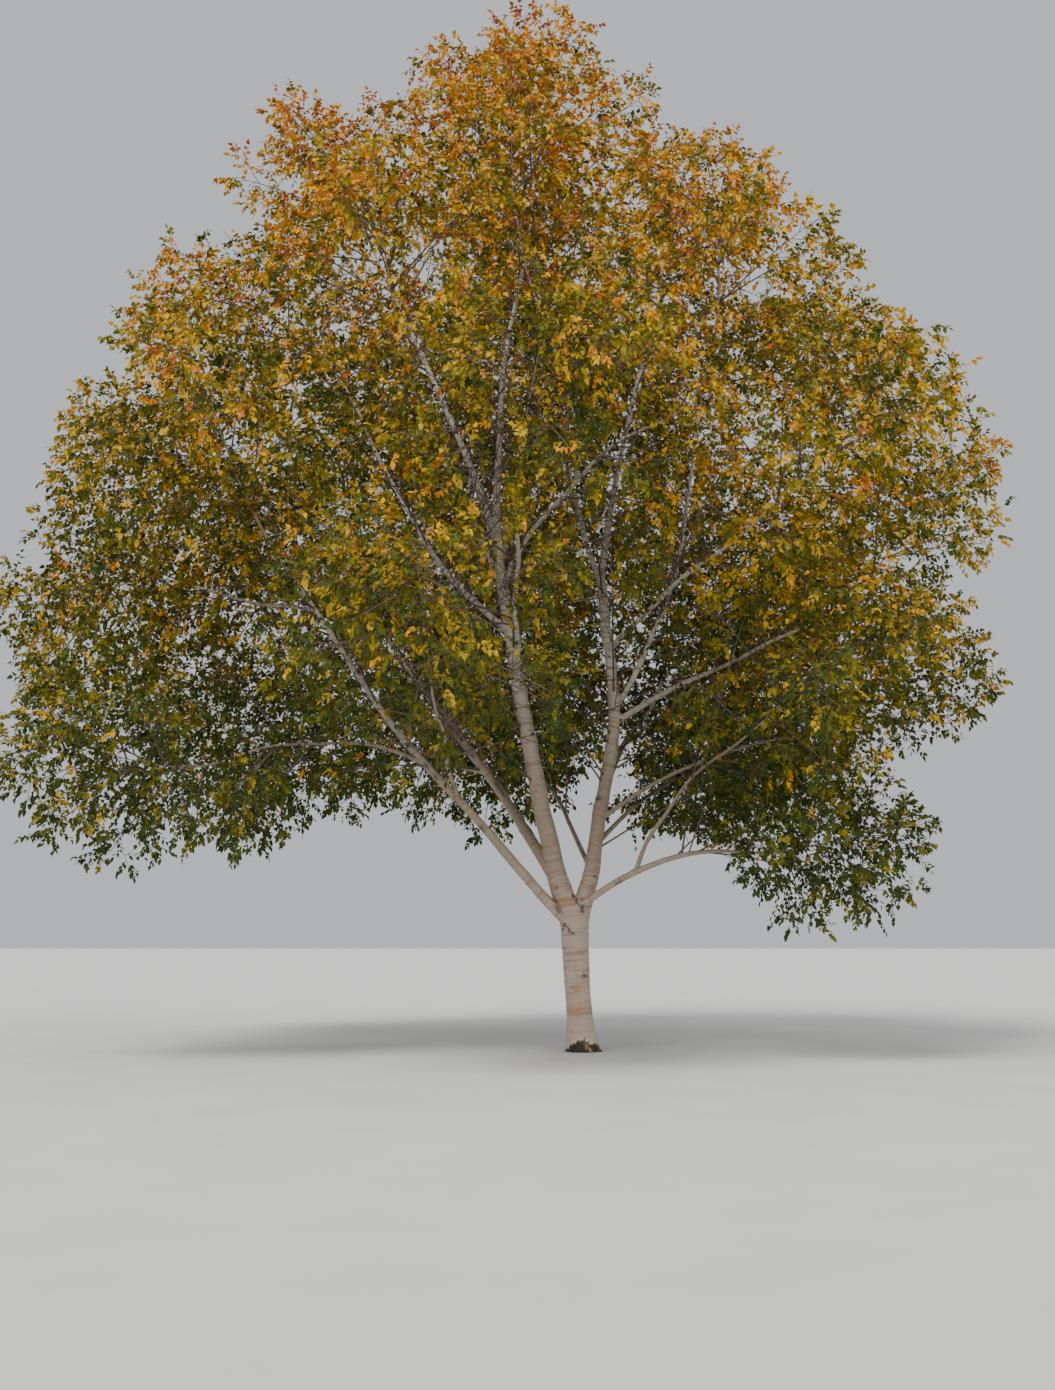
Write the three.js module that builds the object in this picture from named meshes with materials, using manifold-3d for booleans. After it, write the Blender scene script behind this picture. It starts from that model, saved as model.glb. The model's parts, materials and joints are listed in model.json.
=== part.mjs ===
// A stone birch in autumn leaf, rooted in level ground: a short pale trunk that forks at head height
// into a leaning leader and a right stem, long tapering boughs, and a broad crown of separate masses
// of foliage. Millimetres, +Z up. The origin is on the flat cut under the trunk. +X is to the right
// of the tree as it is seen from the front, and +Y runs away from the viewer.
import * as THREE from 'three';
import { mergeVertices } from 'three/addons/utils/BufferGeometryUtils.js';
import Module from 'manifold-3d';

// The gap that two solids keep where they meet, and the distance within which corners are one.
const CLEAR = 0.3;
const WELD = 1e-3;

// The trunk, from its cut at ground level to its fork. It leans to the left, and bows a little to
// that side on the way. Its flare runs out into the ground in shallow buttresses.
const TRUNK_HEIGHT = 1950;
const TRUNK_LEAN = -105;
const TRUNK_BOW = -28;
const TRUNK_DIAMETER = 368;
const TRUNK_WAIST = 0.05;
const FORK_SWELLING = 0.1;
const FLARE = 0.3;
const FLARE_HEIGHT = 190;
const BUTTRESSES = 5;
const BUTTRESS_DEPTH = 0.16;
const BUTTRESS_TURN = 0.8;
const TRUNK_SIDES = 14;
const TRUNK_RINGS = 8;

// The two stems that carry the boughs. A limb starts at the share `at` of the limb it grows from,
// `seat` to the side of that limb's axis, and runs to its tip, bowed by `bow` at mid-length.
// `thick` is its diameter at its root and at its tip.
const STEMS = [
  {
    name: 'leader', from: 'trunk', at: 0.9, seat: [-105, 0, 0],
    tip: [-1190, -200, 7060], bow: [-70, 0, 0], thick: [268, 150],
  },
  {
    name: 'right_stem', from: 'trunk', at: 0.9, seat: [85, 30, 0],
    tip: [290, 600, 6770], bow: [270, 0, 0], thick: [225, 128],
  },
];

// The boughs, roughly from the top of the crown down. Each carries a mass of foliage at its tip, which
// keeps to a space of radius `reach` round its centre, flattened from top to bottom.
const BOUGHS = [
  {
    name: 'top', from: 'leader', at: 0.97, tip: [-770, 0, 11300], bow: [-150, 60, 0],
    thick: [118, 44], centre: [-850, 0, 13050], reach: 2080,
  },
  {
    name: 'upper_left', from: 'leader', at: 0.985, tip: [-2500, -650, 10150], bow: [130, 0, -150],
    thick: [112, 48], centre: [-3200, -300, 11900], reach: 1950,
  },
  {
    name: 'upper_back', from: 'leader', at: 0.93, tip: [-600, 1050, 10500], bow: [180, 0, 0],
    thick: [84, 40], centre: [-700, 2200, 11900], reach: 2000,
  },
  {
    name: 'upper_right', from: 'right_stem', at: 0.98, tip: [1000, 700, 10100], bow: [-60, 0, 0],
    thick: [100, 44], centre: [1400, 0, 11500], reach: 1850,
  },
  {
    name: 'upper_front', from: 'right_arching', at: 0.52, tip: [-560, -1750, 9750], bow: [160, -120, -100],
    thick: [44, 30], centre: [-800, -2300, 11450], reach: 1900,
  },
  {
    name: 'left_middle', from: 'leader', at: 0.74, tip: [-3000, -1000, 8500], bow: [-120, 0, -230],
    thick: [88, 42], centre: [-4350, -400, 9850], reach: 2100,
  },
  {
    name: 'right_arching', from: 'leader', at: 0.87, tip: [1050, -1500, 8350], bow: [-130, 0, 300],
    thick: [72, 36], centre: [1300, -2850, 9750], reach: 2050,
  },
  {
    name: 'inner_right', from: 'right_stem', at: 0.955, tip: [-180, 1350, 8700], bow: [-60, 0, 0],
    thick: [92, 46], centre: [900, 3100, 10000], reach: 2100,
  },
  {
    name: 'right_upright', from: 'right_stem', at: 0.6, tip: [1600, -400, 8500], bow: [160, 0, -380],
    thick: [80, 40], centre: [2850, -100, 9600], reach: 2000,
  },
  {
    name: 'front_left', from: 'leader', at: 0.82, tip: [-2000, -1800, 8100], bow: [0, 0, 100],
    thick: [66, 38], centre: [-2350, -3000, 9700], reach: 2000,
  },
  {
    name: 'upper_back_left', from: 'leader', at: 0.91, tip: [-2200, 1800, 8800], bow: [0, 100, -60],
    thick: [74, 40], centre: [-3000, 3000, 10000], reach: 2100,
  },
  {
    name: 'high_left', from: 'left_middle', at: 0.42, tip: [-4300, -300, 7600], bow: [0, 0, -120],
    thick: [50, 34], centre: [-5550, -200, 8000], reach: 1950,
  },
  {
    name: 'low_left', from: 'trunk', at: 0.84, tip: [-3990, -1500, 6440], bow: [-120, 0, -120],
    thick: [140, 46], centre: [-4400, -3100, 7700], reach: 2100,
  },
  {
    name: 'back_left', from: 'leader', at: 0.1, tip: [-3100, 2000, 6300], bow: [140, 0, -120],
    thick: [165, 66], centre: [-4400, 3200, 7600], reach: 2100,
  },
  {
    name: 'back', from: 'leader', at: 0.5, tip: [-1100, 2900, 6600], bow: [0, 0, 150],
    thick: [92, 48], centre: [-1000, 4700, 7600], reach: 2100,
  },
  {
    name: 'back_right', from: 'right_stem', at: 0.36, tip: [1700, 2500, 5900], bow: [0, 0, 150],
    thick: [88, 46], centre: [2800, 3700, 7400], reach: 2100,
  },
  {
    name: 'long_right', from: 'right_stem', at: 0.56, tip: [3300, 500, 5950], bow: [0, 0, 60],
    thick: [86, 40], centre: [4350, 100, 7400], reach: 1950,
  },
  {
    name: 'front_right', from: 'right_stem', at: 0.76, tip: [1800, -2100, 6500], bow: [0, 0, 100],
    thick: [78, 40], centre: [2800, -3300, 7500], reach: 2100,
  },
  {
    name: 'front', from: 'leader', at: 0.62, tip: [-900, -2900, 6800], bow: [0, 0, 120],
    thick: [78, 44], centre: [-700, -4600, 7600], reach: 2000,
  },
  {
    name: 'far_left', from: 'low_left', at: 0.88, tip: [-5300, -1200, 6200], bow: [0, 0, -60],
    thick: [46, 30], centre: [-6400, -500, 6000], reach: 1900,
  },
  {
    name: 'lowest_left', from: 'low_left', at: 0.49, tip: [-4600, -1700, 3800], bow: [0, 0, 260],
    thick: [52, 28], centre: [-5600, -2000, 3950], reach: 1950,
  },
  {
    name: 'front_skirt', from: 'low_left', at: 0.38, tip: [-1900, -3300, 4500], bow: [0, 0, -60],
    thick: [52, 30], centre: [-1900, -4900, 5000], reach: 2000,
  },
  {
    name: 'back_left_skirt', from: 'back_left', at: 0.42, tip: [-3300, 1900, 4400], bow: [0, 100, 0],
    thick: [62, 34], centre: [-4900, 2700, 4700], reach: 2100,
  },
  {
    name: 'inner_back', from: 'right_stem', at: 0.13, tip: [-900, 3100, 4400], bow: [0, 0, 240],
    thick: [66, 38], centre: [-1500, 4900, 4900], reach: 2100,
  },
  {
    name: 'back_right_skirt', from: 'right_stem', at: 0.2, tip: [2300, 2600, 4200], bow: [0, 0, 240],
    thick: [66, 36], centre: [3000, 4000, 4700], reach: 2100,
  },
  {
    name: 'right_skirt', from: 'right_stem', at: 0.27, tip: [2900, 300, 4300], bow: [0, 0, 200],
    thick: [62, 34], centre: [4150, 400, 5250], reach: 1850,
  },
  {
    name: 'low_right', from: 'trunk', at: 0.965, tip: [2060, -1300, 2630], bow: [0, 0, 260],
    thick: [100, 42], centre: [2950, -1850, 2800], reach: 1500,
  },
  {
    name: 'rising_right', from: 'low_right', at: 0.38, tip: [1800, -1700, 3900], bow: [-120, 0, 120],
    thick: [58, 34], centre: [2700, -2850, 4850], reach: 1850,
  },
];

// How a limb is shaped: its taper, its collar at the root, and how far it wanders from a smooth bow
// for its length.
const STEM_SIDES = 8;
const BOUGH_SIDES = 6;
const LIMB_RINGS = 5;
const TAPER = 0.85;
const COLLAR = 0.3;
const COLLAR_SHARE = 0.05;
const WANDER = 0.011;
const WAVES = 1.5;

// The space that a mass keeps to: how flat it is, its gap to the next one, and the room that twigs
// and sprays leave round a limb.
const FLATTENING = 0.88;
const SPACE_GAP = 30;
const LIMB_MARGIN = 15;

// A mass's stem, from its bough's tip through the middle of the space and some way beyond it.
const STEM_BEYOND = 0.72;
const STEM_KNEE = 0.35;
const STEM_TIP = 30;
const LEAFY_STEM_SIDES = 4;
const LEAFY_STEM_RINGS = 3;

// Its twigs, set round the stem at the golden angle. Angles are in degrees, lengths in millimetres.
const GOLDEN_ANGLE = 137.508;
const TWIGS = 7;
const TWIG_SHARES = [0.12, 0.96];
const TWIG_ANGLES = [78, 46];
const TWIG_ANGLE_SPREAD = 16;
const TWIG_TURN_SPREAD = 40;
const TWIG_LIFT = 0.12;
const TWIG_THICK = 26;
const TWIG_LENGTHS = [260, 2300];
const TWIG_BARE_SHARE = 0.25;

// Its sprays of leaves: each is one folded blade, larger than life. A twig's sprays have their seats
// at shares of its length, and turn away from it by so many degrees.
const SPRAY_LENGTHS = [620, 1400];
const SPRAY_LENGTH_SPREAD = 0.2;
const SPRAY_ROOM = 0.97;
const SPRAY_WIDTH = 0.6;
const SPRAY_FOLD = 0.03;
const SPRAY_BROADEST = -0.25;
const SPRAY_SEATS = [0.93, 0.72, 0.5];
const SPRAY_TURNS = [0, 62, -62];
const SPRAY_OVERHANG = 0.8;
const SPRAY_DROOP = 0.12;
const SPRAY_TILT = 0.7;
const SPRAY_SPACING = 370;
const SPRAY_TRIES = 5;
const SPRAY_SWAY = 25;
const SPRAY_HEART = 0.3;
const SPRAY_NECK = 20;

// Leaves have turned amber from the top of the crown down to this height, and are olive below it.
const TURNED_ABOVE = 7300;

// Limbs thicker than this at the root have the pale bark of the trunk.
const PALE_BARK_FROM = 90;

const UP = new THREE.Vector3(0, 0, 1);
const RIGHT = new THREE.Vector3(1, 0, 0);
const NEARLY_UPRIGHT = 0.97;

const wasm = await Module();
wasm.setup();

// A repeatable source of numbers from 0 to 1, with its own run for each mass.
function seeded(index) {
  let state = 1000 + 77 * index;
  return () => {
    state = (Math.imul(state, 1664525) + 1013904223) >>> 0;
    return state / 2 ** 32;
  };
}

// A closed three.js geometry as a solid that can be joined and cut.
function solidOf(geometry) {
  const bare = geometry.clone();
  bare.deleteAttribute('normal');
  bare.deleteAttribute('uv');
  const merged = mergeVertices(bare, WELD);
  return new wasm.Manifold(new wasm.Mesh({
    numProp: 3,
    vertProperties: merged.attributes.position.array,
    triVerts: new Uint32Array(merged.index.array),
  }));
}

// A solid back as a three.js geometry.
function geometryOf(solid) {
  const mesh = solid.getMesh();
  const geometry = new THREE.BufferGeometry();
  geometry.setAttribute('position', new THREE.BufferAttribute(mesh.vertProperties, 3));
  geometry.setIndex(new THREE.BufferAttribute(mesh.triVerts, 1));
  geometry.computeVertexNormals();
  return geometry;
}

// The largest body of a solid, without loose scraps.
function largest(solid) {
  const bodies = solid.decompose();
  return bodies.reduce((best, body) => (body.volume() > best.volume() ? body : best));
}

const radians = (degrees) => (degrees * Math.PI) / 180;

// The direction in which an axis runs at a share of its length.
function directionAt(axisAt, share) {
  const step = 0.01;
  return axisAt(Math.min(1, share + step)).sub(axisAt(Math.max(0, share - step))).normalize();
}

// A direction square to another, level where that can be.
function squareTo(forward) {
  return Math.abs(forward.z) > NEARLY_UPRIGHT ? RIGHT.clone() : forward.clone().cross(UP).normalize();
}

// A closed tube with `sides` sides: each ring of a cylinder, or of a cone for a pointed tube, is
// moved onto the axis and turned to face along it. radiusAt takes the share of the length and the
// angle round the ring.
function tube(axisAt, radiusAt, sides, rings, { pointed = false, level = false } = {}) {
  const geometry = new THREE.CylinderGeometry(pointed ? 0 : 1, 1, 1, sides, rings);
  const places = geometry.attributes.position;
  const side = squareTo(axisAt(1).sub(axisAt(0)).normalize());
  for (let i = 0; i < places.count; i++) {
    const share = places.getY(i) + 0.5;
    const forward = level ? UP.clone() : directionAt(axisAt, share);
    const across = side.clone().addScaledVector(forward, -side.dot(forward)).normalize();
    const through = across.clone().cross(forward);
    const radius = radiusAt(share, Math.atan2(places.getZ(i), places.getX(i)));
    const place = axisAt(share).addScaledVector(across, places.getX(i) * radius)
      .addScaledVector(through, places.getZ(i) * radius);
    places.setXYZ(i, place.x, place.y, place.z);
  }
  return geometry;
}

// A hump that is nothing at both ends of a limb and 1 halfway.
const belly = (share) => 4 * share * (1 - share);

// The trunk's axis and its radius, with buttresses that die out above the flare.
function trunkAxis(share) {
  return new THREE.Vector3(TRUNK_LEAN * share + TRUNK_BOW * belly(share), 0, TRUNK_HEIGHT * share);
}

function trunkRadius(share, angle) {
  const spread = Math.exp((-share * TRUNK_HEIGHT) / FLARE_HEIGHT);
  const lobes = 1 + BUTTRESS_DEPTH * Math.cos(BUTTRESSES * angle + BUTTRESS_TURN);
  const swelling = FORK_SWELLING * share ** 4;
  return (TRUNK_DIAMETER / 2) * (1 + FLARE * spread * lobes + swelling - TRUNK_WAIST * belly(share));
}

// A limb's axis: straight from root to tip, bowed, and wandering a little from side to side.
function limbAxis(row, index, parentAxis) {
  const seat = new THREE.Vector3(...(row.seat ?? [0, 0, 0]));
  const root = parentAxis(row.at).add(seat);
  const run = new THREE.Vector3(...row.tip).sub(root);
  const bow = new THREE.Vector3(...row.bow);
  const side = run.clone().cross(UP).normalize();
  const phase = radians(index * GOLDEN_ANGLE);
  return (share) => {
    const sway = WANDER * run.length() * belly(share) * Math.sin(2 * Math.PI * WAVES * share + phase);
    return root.clone().addScaledVector(run, share).addScaledVector(bow, belly(share))
      .addScaledVector(side, sway).addScaledVector(UP, sway * Math.cos(phase));
  };
}

// A limb's radius: an even taper, with a collar where it leaves the limb it grows from.
function limbRadius(row, share) {
  const [root, tip] = row.thick;
  const diameter = tip + (root - tip) * (1 - share) ** TAPER;
  return (diameter / 2) * (1 + COLLAR * Math.exp(-share / COLLAR_SHARE));
}

// Every limb by name: its axis, its radius, and the straight pieces used to keep foliage off it.
const limbs = new Map();

function addLimb(name, axisAt, radiusAt) {
  const count = 2 * LIMB_RINGS;
  const pieces = [];
  for (let i = 0; i < count; i++) {
    pieces.push({ start: axisAt(i / count), end: axisAt((i + 1) / count), radius: radiusAt(i / count, 0) });
  }
  limbs.set(name, { axisAt, radiusAt, pieces });
}

addLimb('trunk', trunkAxis, trunkRadius);
const rows = [...STEMS, ...BOUGHS];
let waiting = rows.map((row, index) => ({ row, index }));
while (waiting.length) {
  for (const { row, index } of waiting.filter((item) => limbs.has(item.row.from))) {
    addLimb(row.name, limbAxis(row, index, limbs.get(row.from).axisAt), (share) => limbRadius(row, share));
  }
  waiting = waiting.filter((item) => !limbs.has(item.row.name));
}

// A limb's solid, grown by `extra` all round when it is used to cut its neighbours clear.
function limbSolid(name, extra = 0) {
  const { axisAt, radiusAt } = limbs.get(name);
  const longer = (share) => {
    return axisAt(share).addScaledVector(directionAt(axisAt, share), extra * (2 * share - 1));
  };
  const wider = (share, angle) => radiusAt(share, angle) + extra;
  if (name === 'trunk') return solidOf(tube(longer, wider, TRUNK_SIDES, TRUNK_RINGS, { level: true }));
  const sides = STEMS.some((row) => row.name === name) ? STEM_SIDES : BOUGH_SIDES;
  return solidOf(tube(longer, wider, sides, LIMB_RINGS));
}

// The space that a mass keeps to: a flattened ball, cut off midway towards each neighbour.
const spaces = BOUGHS.map(({ centre, reach }) => ({ centre: new THREE.Vector3(...centre), reach }));
for (const space of spaces) {
  space.walls = spaces.filter((other) => other !== space).map((other) => {
    const away = other.centre.clone().sub(space.centre);
    const apart = away.length();
    const share = 0.5 + (space.reach ** 2 - other.reach ** 2) / (2 * apart ** 2);
    const normal = away.clone().divideScalar(apart);
    return { normal, offset: normal.dot(space.centre) + apart * share - SPACE_GAP / 2 };
  });
}

// Stretches a vector so that the flattened ball becomes a round one of radius 1.
function rounded(vector, space) {
  return new THREE.Vector3(vector.x, vector.y, vector.z / FLATTENING).divideScalar(space.reach);
}

// How far it is from a place to the border of the space, along a direction.
function roomAlong(place, direction, space) {
  const p = rounded(place.clone().sub(space.centre), space);
  const d = rounded(direction, space);
  const [a, b, c] = [d.dot(d), p.dot(d), p.dot(p) - 1];
  if (c > 0) return 0;
  let room = (Math.sqrt(b * b - a * c) - b) / a;
  for (const { normal, offset } of space.walls) {
    const towards = normal.dot(direction);
    const gap = offset - normal.dot(place);
    if (gap < 0) return 0;
    if (towards > 0) room = Math.min(room, gap / towards);
  }
  return room;
}

const isInside = (place, space) => roomAlong(place, UP, space) > 0;

// The least distance between two straight pieces.
function distanceBetween(a, b, c, d) {
  const [u, v, w] = [b.clone().sub(a), d.clone().sub(c), a.clone().sub(c)];
  const [uu, uv, vv, uw, vw] = [u.dot(u), u.dot(v), v.dot(v), u.dot(w), v.dot(w)];
  const spread = uu * vv - uv * uv;
  const clamp = (x) => Math.min(1, Math.max(0, x));
  let s = spread > 1e-9 * uu * vv ? clamp((uv * vw - vv * uw) / spread) : 0;
  const t = clamp((uv * s + vw) / vv);
  s = clamp((uv * t - uw) / uu);
  return w.addScaledVector(u, s).addScaledVector(v, -t).length();
}

// Whether a straight piece with something of that radius round it stays off every limb.
function clearsLimbs(start, end, radius) {
  for (const { pieces } of limbs.values()) {
    for (const piece of pieces) {
      const least = radius + piece.radius + LIMB_MARGIN;
      if (distanceBetween(start, end, piece.start, piece.end) < least) return false;
    }
  }
  return true;
}

// A straight three-sided twig that narrows to a point.
function twigSolid(start, end) {
  const axisAt = (share) => start.clone().lerp(end, share);
  return solidOf(tube(axisAt, () => TWIG_THICK / 2, 3, 1, { pointed: true }));
}

// A spray's faces: a kite from root to tip, folded along its midrib, so that it is a slim solid of
// four faces with its ridge outwards. A tetrahedron's upper edge becomes the midrib, and its lower
// edge the broadest line.
function sprayGeometry(root, direction, face, length) {
  const across = direction.clone().cross(face).normalize();
  const lift = across.clone().cross(direction).normalize();
  const geometry = new THREE.TetrahedronGeometry(Math.sqrt(3));
  const places = geometry.attributes.position;
  const half = length / 2;
  for (let i = 0; i < places.count; i++) {
    const [x, y, z] = [places.getX(i), places.getY(i), places.getZ(i)];
    const along = z > 0 ? (x + y) / 2 : SPRAY_BROADEST;
    const place = root.clone().addScaledVector(direction, half * (along + 1))
      .addScaledVector(across, half * SPRAY_WIDTH * ((x - y) / 2))
      .addScaledVector(lift, half * SPRAY_FOLD * (z - 1));
    places.setXYZ(i, place.x, place.y, place.z);
  }
  return geometry;
}

// Whether every corner of a geometry is inside the space, which has no hollows in its border.
function fitsInside(geometry, space) {
  const places = geometry.attributes.position;
  for (let i = 0; i < places.count; i++) {
    if (!isInside(new THREE.Vector3().fromBufferAttribute(places, i), space)) return false;
  }
  return true;
}

// A spray's solid, or nothing where it would leave its space, touch a limb or crowd another spray.
function spraySolid(root, direction, face, space, grown, random) {
  const wanted = SPRAY_LENGTHS[1] * (1 - SPRAY_LENGTH_SPREAD * random());
  const length = Math.min(wanted, SPRAY_ROOM * roomAlong(root, direction, space));
  if (length < SPRAY_LENGTHS[0]) return null;
  const geometry = sprayGeometry(root, direction, face, length);
  const heart = root.clone().addScaledVector(direction, length * SPRAY_HEART);
  const end = root.clone().addScaledVector(direction, length);
  const breadth = (length / 2) * SPRAY_WIDTH * SPRAY_ROOM;
  const crowded = grown.some((other) => distanceBetween(heart, end, other.heart, other.end) < SPRAY_SPACING);
  if (crowded || !fitsInside(geometry, space)) return null;
  if (!clearsLimbs(heart, end, breadth) || !clearsLimbs(root, heart, SPRAY_NECK)) return null;
  grown.push({ heart, end });
  return solidOf(geometry);
}

// A direction turned away from another by `angle`, on the side that `turn` gives, in degrees.
function turnedFrom(forward, angle, turn) {
  const side = squareTo(forward).applyAxisAngle(forward, radians(turn));
  return forward.clone().multiplyScalar(Math.cos(radians(angle)))
    .addScaledVector(side, Math.sin(radians(angle))).normalize();
}

// The axis of a mass's stem: it goes on from the bough's tip and curves through the middle of the
// space.
function stemAxis(name, space) {
  const { axisAt } = limbs.get(name);
  const start = axisAt(1);
  const through = space.centre.clone().sub(start).normalize();
  const length = space.centre.distanceTo(start) + STEM_BEYOND * roomAlong(space.centre, through, space);
  const knee = start.clone().addScaledVector(directionAt(axisAt, 1), length * STEM_KNEE);
  const end = start.clone().addScaledVector(through, length);
  return (share) => start.clone().multiplyScalar((1 - share) ** 2)
    .addScaledVector(knee, 2 * share * (1 - share)).addScaledVector(end, share ** 2);
}

// The same axis as straight pieces between its rings, as a tube with so few rings has it.
function straightened(axisAt, rings) {
  return (share) => {
    const ring = Math.min(rings - 1, Math.floor(share * rings));
    return axisAt(ring / rings).lerp(axisAt((ring + 1) / rings), share * rings - ring);
  };
}

// The sprays of a twig: one at its tip, and others further back, to one side and the other. Each is
// tried a few times, turned another way, until it finds room.
function spraysOn(root, tip, space, grown, random) {
  const forward = tip.clone().sub(root).normalize();
  const outward = tip.clone().sub(space.centre).normalize();
  const sprays = [];
  SPRAY_SEATS.forEach((seat, i) => {
    let spray = null;
    for (let attempt = 0; attempt < SPRAY_TRIES && !spray; attempt++) {
      const tilt = turnedFrom(forward, 90, 360 * random()).multiplyScalar(SPRAY_TILT);
      const face = tilt.add(outward).normalize();
      const turn = SPRAY_TURNS[i] + SPRAY_SWAY * attempt * (random() - 0.5);
      const direction = forward.clone().applyAxisAngle(face, radians(turn));
      direction.addScaledVector(UP, -SPRAY_DROOP).normalize();
      spray = spraySolid(root.clone().lerp(tip, seat), direction, face, space, grown, random);
    }
    if (spray) sprays.push(spray);
  });
  return sprays;
}

// Where a mass's twigs grow: each leaves the stem at its own share, angle and turn, and ends far
// enough inside the space for the spray at its tip. One with no room is left out.
function twigLines(axisAt, space, random) {
  const lines = [];
  for (let i = 0; i < TWIGS; i++) {
    const share = THREE.MathUtils.lerp(...TWIG_SHARES, (i + 0.5) / TWIGS);
    const angle = THREE.MathUtils.lerp(...TWIG_ANGLES, share) + TWIG_ANGLE_SPREAD * (random() - 0.5);
    const turn = i * GOLDEN_ANGLE + TWIG_TURN_SPREAD * (random() - 0.5);
    const direction = turnedFrom(directionAt(axisAt, share), angle, turn);
    direction.addScaledVector(UP, TWIG_LIFT).normalize();
    const root = axisAt(share);
    const room = roomAlong(root, direction, space);
    if (room < TWIG_LENGTHS[0] + SPRAY_LENGTHS[0]) continue;
    const wanted = room - SPRAY_OVERHANG * SPRAY_LENGTHS[1];
    const length = THREE.MathUtils.clamp(wanted, ...TWIG_LENGTHS);
    const tip = root.clone().addScaledVector(direction, length);
    if (clearsLimbs(root.clone().lerp(tip, TWIG_BARE_SHARE), tip, TWIG_THICK / 2)) lines.push({ root, tip });
  }
  return lines;
}

// One mass of foliage: its stem, twigs and sprays joined into one solid, clear of its bough.
function foliageSolid(row, index) {
  const space = spaces[index];
  const random = seeded(index);
  const axisAt = straightened(stemAxis(row.name, space), LEAFY_STEM_RINGS);
  const radiusAt = (share) => THREE.MathUtils.lerp(row.thick[1], STEM_TIP, share) / 2;
  const parts = [solidOf(tube(axisAt, radiusAt, LEAFY_STEM_SIDES, LEAFY_STEM_RINGS))];
  const lines = twigLines(axisAt, space, random);
  const grown = [];
  parts.push(...spraysOn(axisAt(1 - 1 / LEAFY_STEM_RINGS), axisAt(1), space, grown, random));
  for (const { root, tip } of lines) {
    const sprays = spraysOn(root, tip, space, grown, random);
    if (sprays.length) parts.push(twigSolid(root, tip), ...sprays);
  }
  return largest(wasm.Manifold.union(parts).subtract(limbSolid(row.name, CLEAR)));
}

// Colours and finishes as the photographed tree shows them.
const bark = new THREE.MeshStandardMaterial({ color: 0xb9aca0, roughness: 0.75, metalness: 0 });
const youngBark = new THREE.MeshStandardMaterial({ color: 0x9d8c7c, roughness: 0.8, metalness: 0 });
const amberLeaves = new THREE.MeshStandardMaterial({ color: 0xb4751f, roughness: 0.7, metalness: 0 });
const oliveLeaves = new THREE.MeshStandardMaterial({ color: 0x6d6a22, roughness: 0.7, metalness: 0 });

const tree = new THREE.Group();
tree.name = 'stone_birch_tree';

function addPiece(name, solid, material) {
  const mesh = new THREE.Mesh(geometryOf(solid), material);
  mesh.name = name;
  tree.add(mesh);
}

// The trunk stays whole, and every later limb is cut clear of the ones before it.
const cutters = [limbSolid('trunk', CLEAR)];
addPiece('trunk', limbSolid('trunk'), bark);
for (const row of rows) {
  const name = STEMS.includes(row) ? row.name : row.name + '_bough';
  const whole = cutters.reduce((solid, cutter) => solid.subtract(cutter), limbSolid(row.name));
  addPiece(name, largest(whole), row.thick[0] > PALE_BARK_FROM ? bark : youngBark);
  cutters.push(limbSolid(row.name, CLEAR));
}
BOUGHS.forEach((row, index) => {
  const leaves = row.centre[2] > TURNED_ABOVE ? amberLeaves : oliveLeaves;
  addPiece(row.name + '_foliage', foliageSolid(row, index), leaves);
});

export default tree;
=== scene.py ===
"""A stone birch in autumn leaf: its bark, boughs, twigs and leaves, round the fixed frame of its solids.

Metres, +Z up. The origin is on the flat cut under the trunk. +X is to the right of the tree as it is
seen from the front, and +Y runs away from the viewer.
"""
import json
import math
from collections import Counter, namedtuple

import bmesh
import bpy
import numpy as np
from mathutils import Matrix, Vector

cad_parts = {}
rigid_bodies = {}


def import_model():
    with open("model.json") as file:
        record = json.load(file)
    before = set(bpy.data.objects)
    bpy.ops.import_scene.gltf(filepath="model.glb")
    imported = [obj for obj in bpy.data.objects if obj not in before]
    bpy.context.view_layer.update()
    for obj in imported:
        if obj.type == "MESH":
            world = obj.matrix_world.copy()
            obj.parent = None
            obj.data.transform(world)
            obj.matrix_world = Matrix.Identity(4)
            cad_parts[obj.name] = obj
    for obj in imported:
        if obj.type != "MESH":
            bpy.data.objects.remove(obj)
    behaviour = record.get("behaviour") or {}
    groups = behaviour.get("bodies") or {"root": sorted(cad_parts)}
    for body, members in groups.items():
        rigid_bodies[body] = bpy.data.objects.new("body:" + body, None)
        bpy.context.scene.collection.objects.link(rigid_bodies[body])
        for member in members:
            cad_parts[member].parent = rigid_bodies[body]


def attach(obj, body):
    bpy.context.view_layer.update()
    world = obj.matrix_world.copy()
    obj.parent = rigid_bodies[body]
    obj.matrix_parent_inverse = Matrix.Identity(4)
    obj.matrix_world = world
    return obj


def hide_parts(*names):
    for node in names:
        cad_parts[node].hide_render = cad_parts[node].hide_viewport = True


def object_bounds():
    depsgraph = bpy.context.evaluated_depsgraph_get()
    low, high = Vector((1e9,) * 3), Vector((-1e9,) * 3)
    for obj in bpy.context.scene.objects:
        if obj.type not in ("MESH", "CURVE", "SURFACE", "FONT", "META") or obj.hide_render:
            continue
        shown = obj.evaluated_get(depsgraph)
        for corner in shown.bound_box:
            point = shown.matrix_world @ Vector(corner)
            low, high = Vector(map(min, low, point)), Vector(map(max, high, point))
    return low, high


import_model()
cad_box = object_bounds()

# The trunk, from its cut at ground level to its fork.
TRUNK_HEIGHT = 1.95
TRUNK_LEAN = -0.105
TRUNK_BOW = -0.028
TRUNK_DIAMETER = 0.368
TRUNK_WAIST = 0.05
FORK_SWELLING = 0.1
FLARE = 0.3
FLARE_HEIGHT = 0.19
BUTTRESSES = 5
BUTTRESS_DEPTH = 0.16
BUTTRESS_TURN = 0.8

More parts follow.
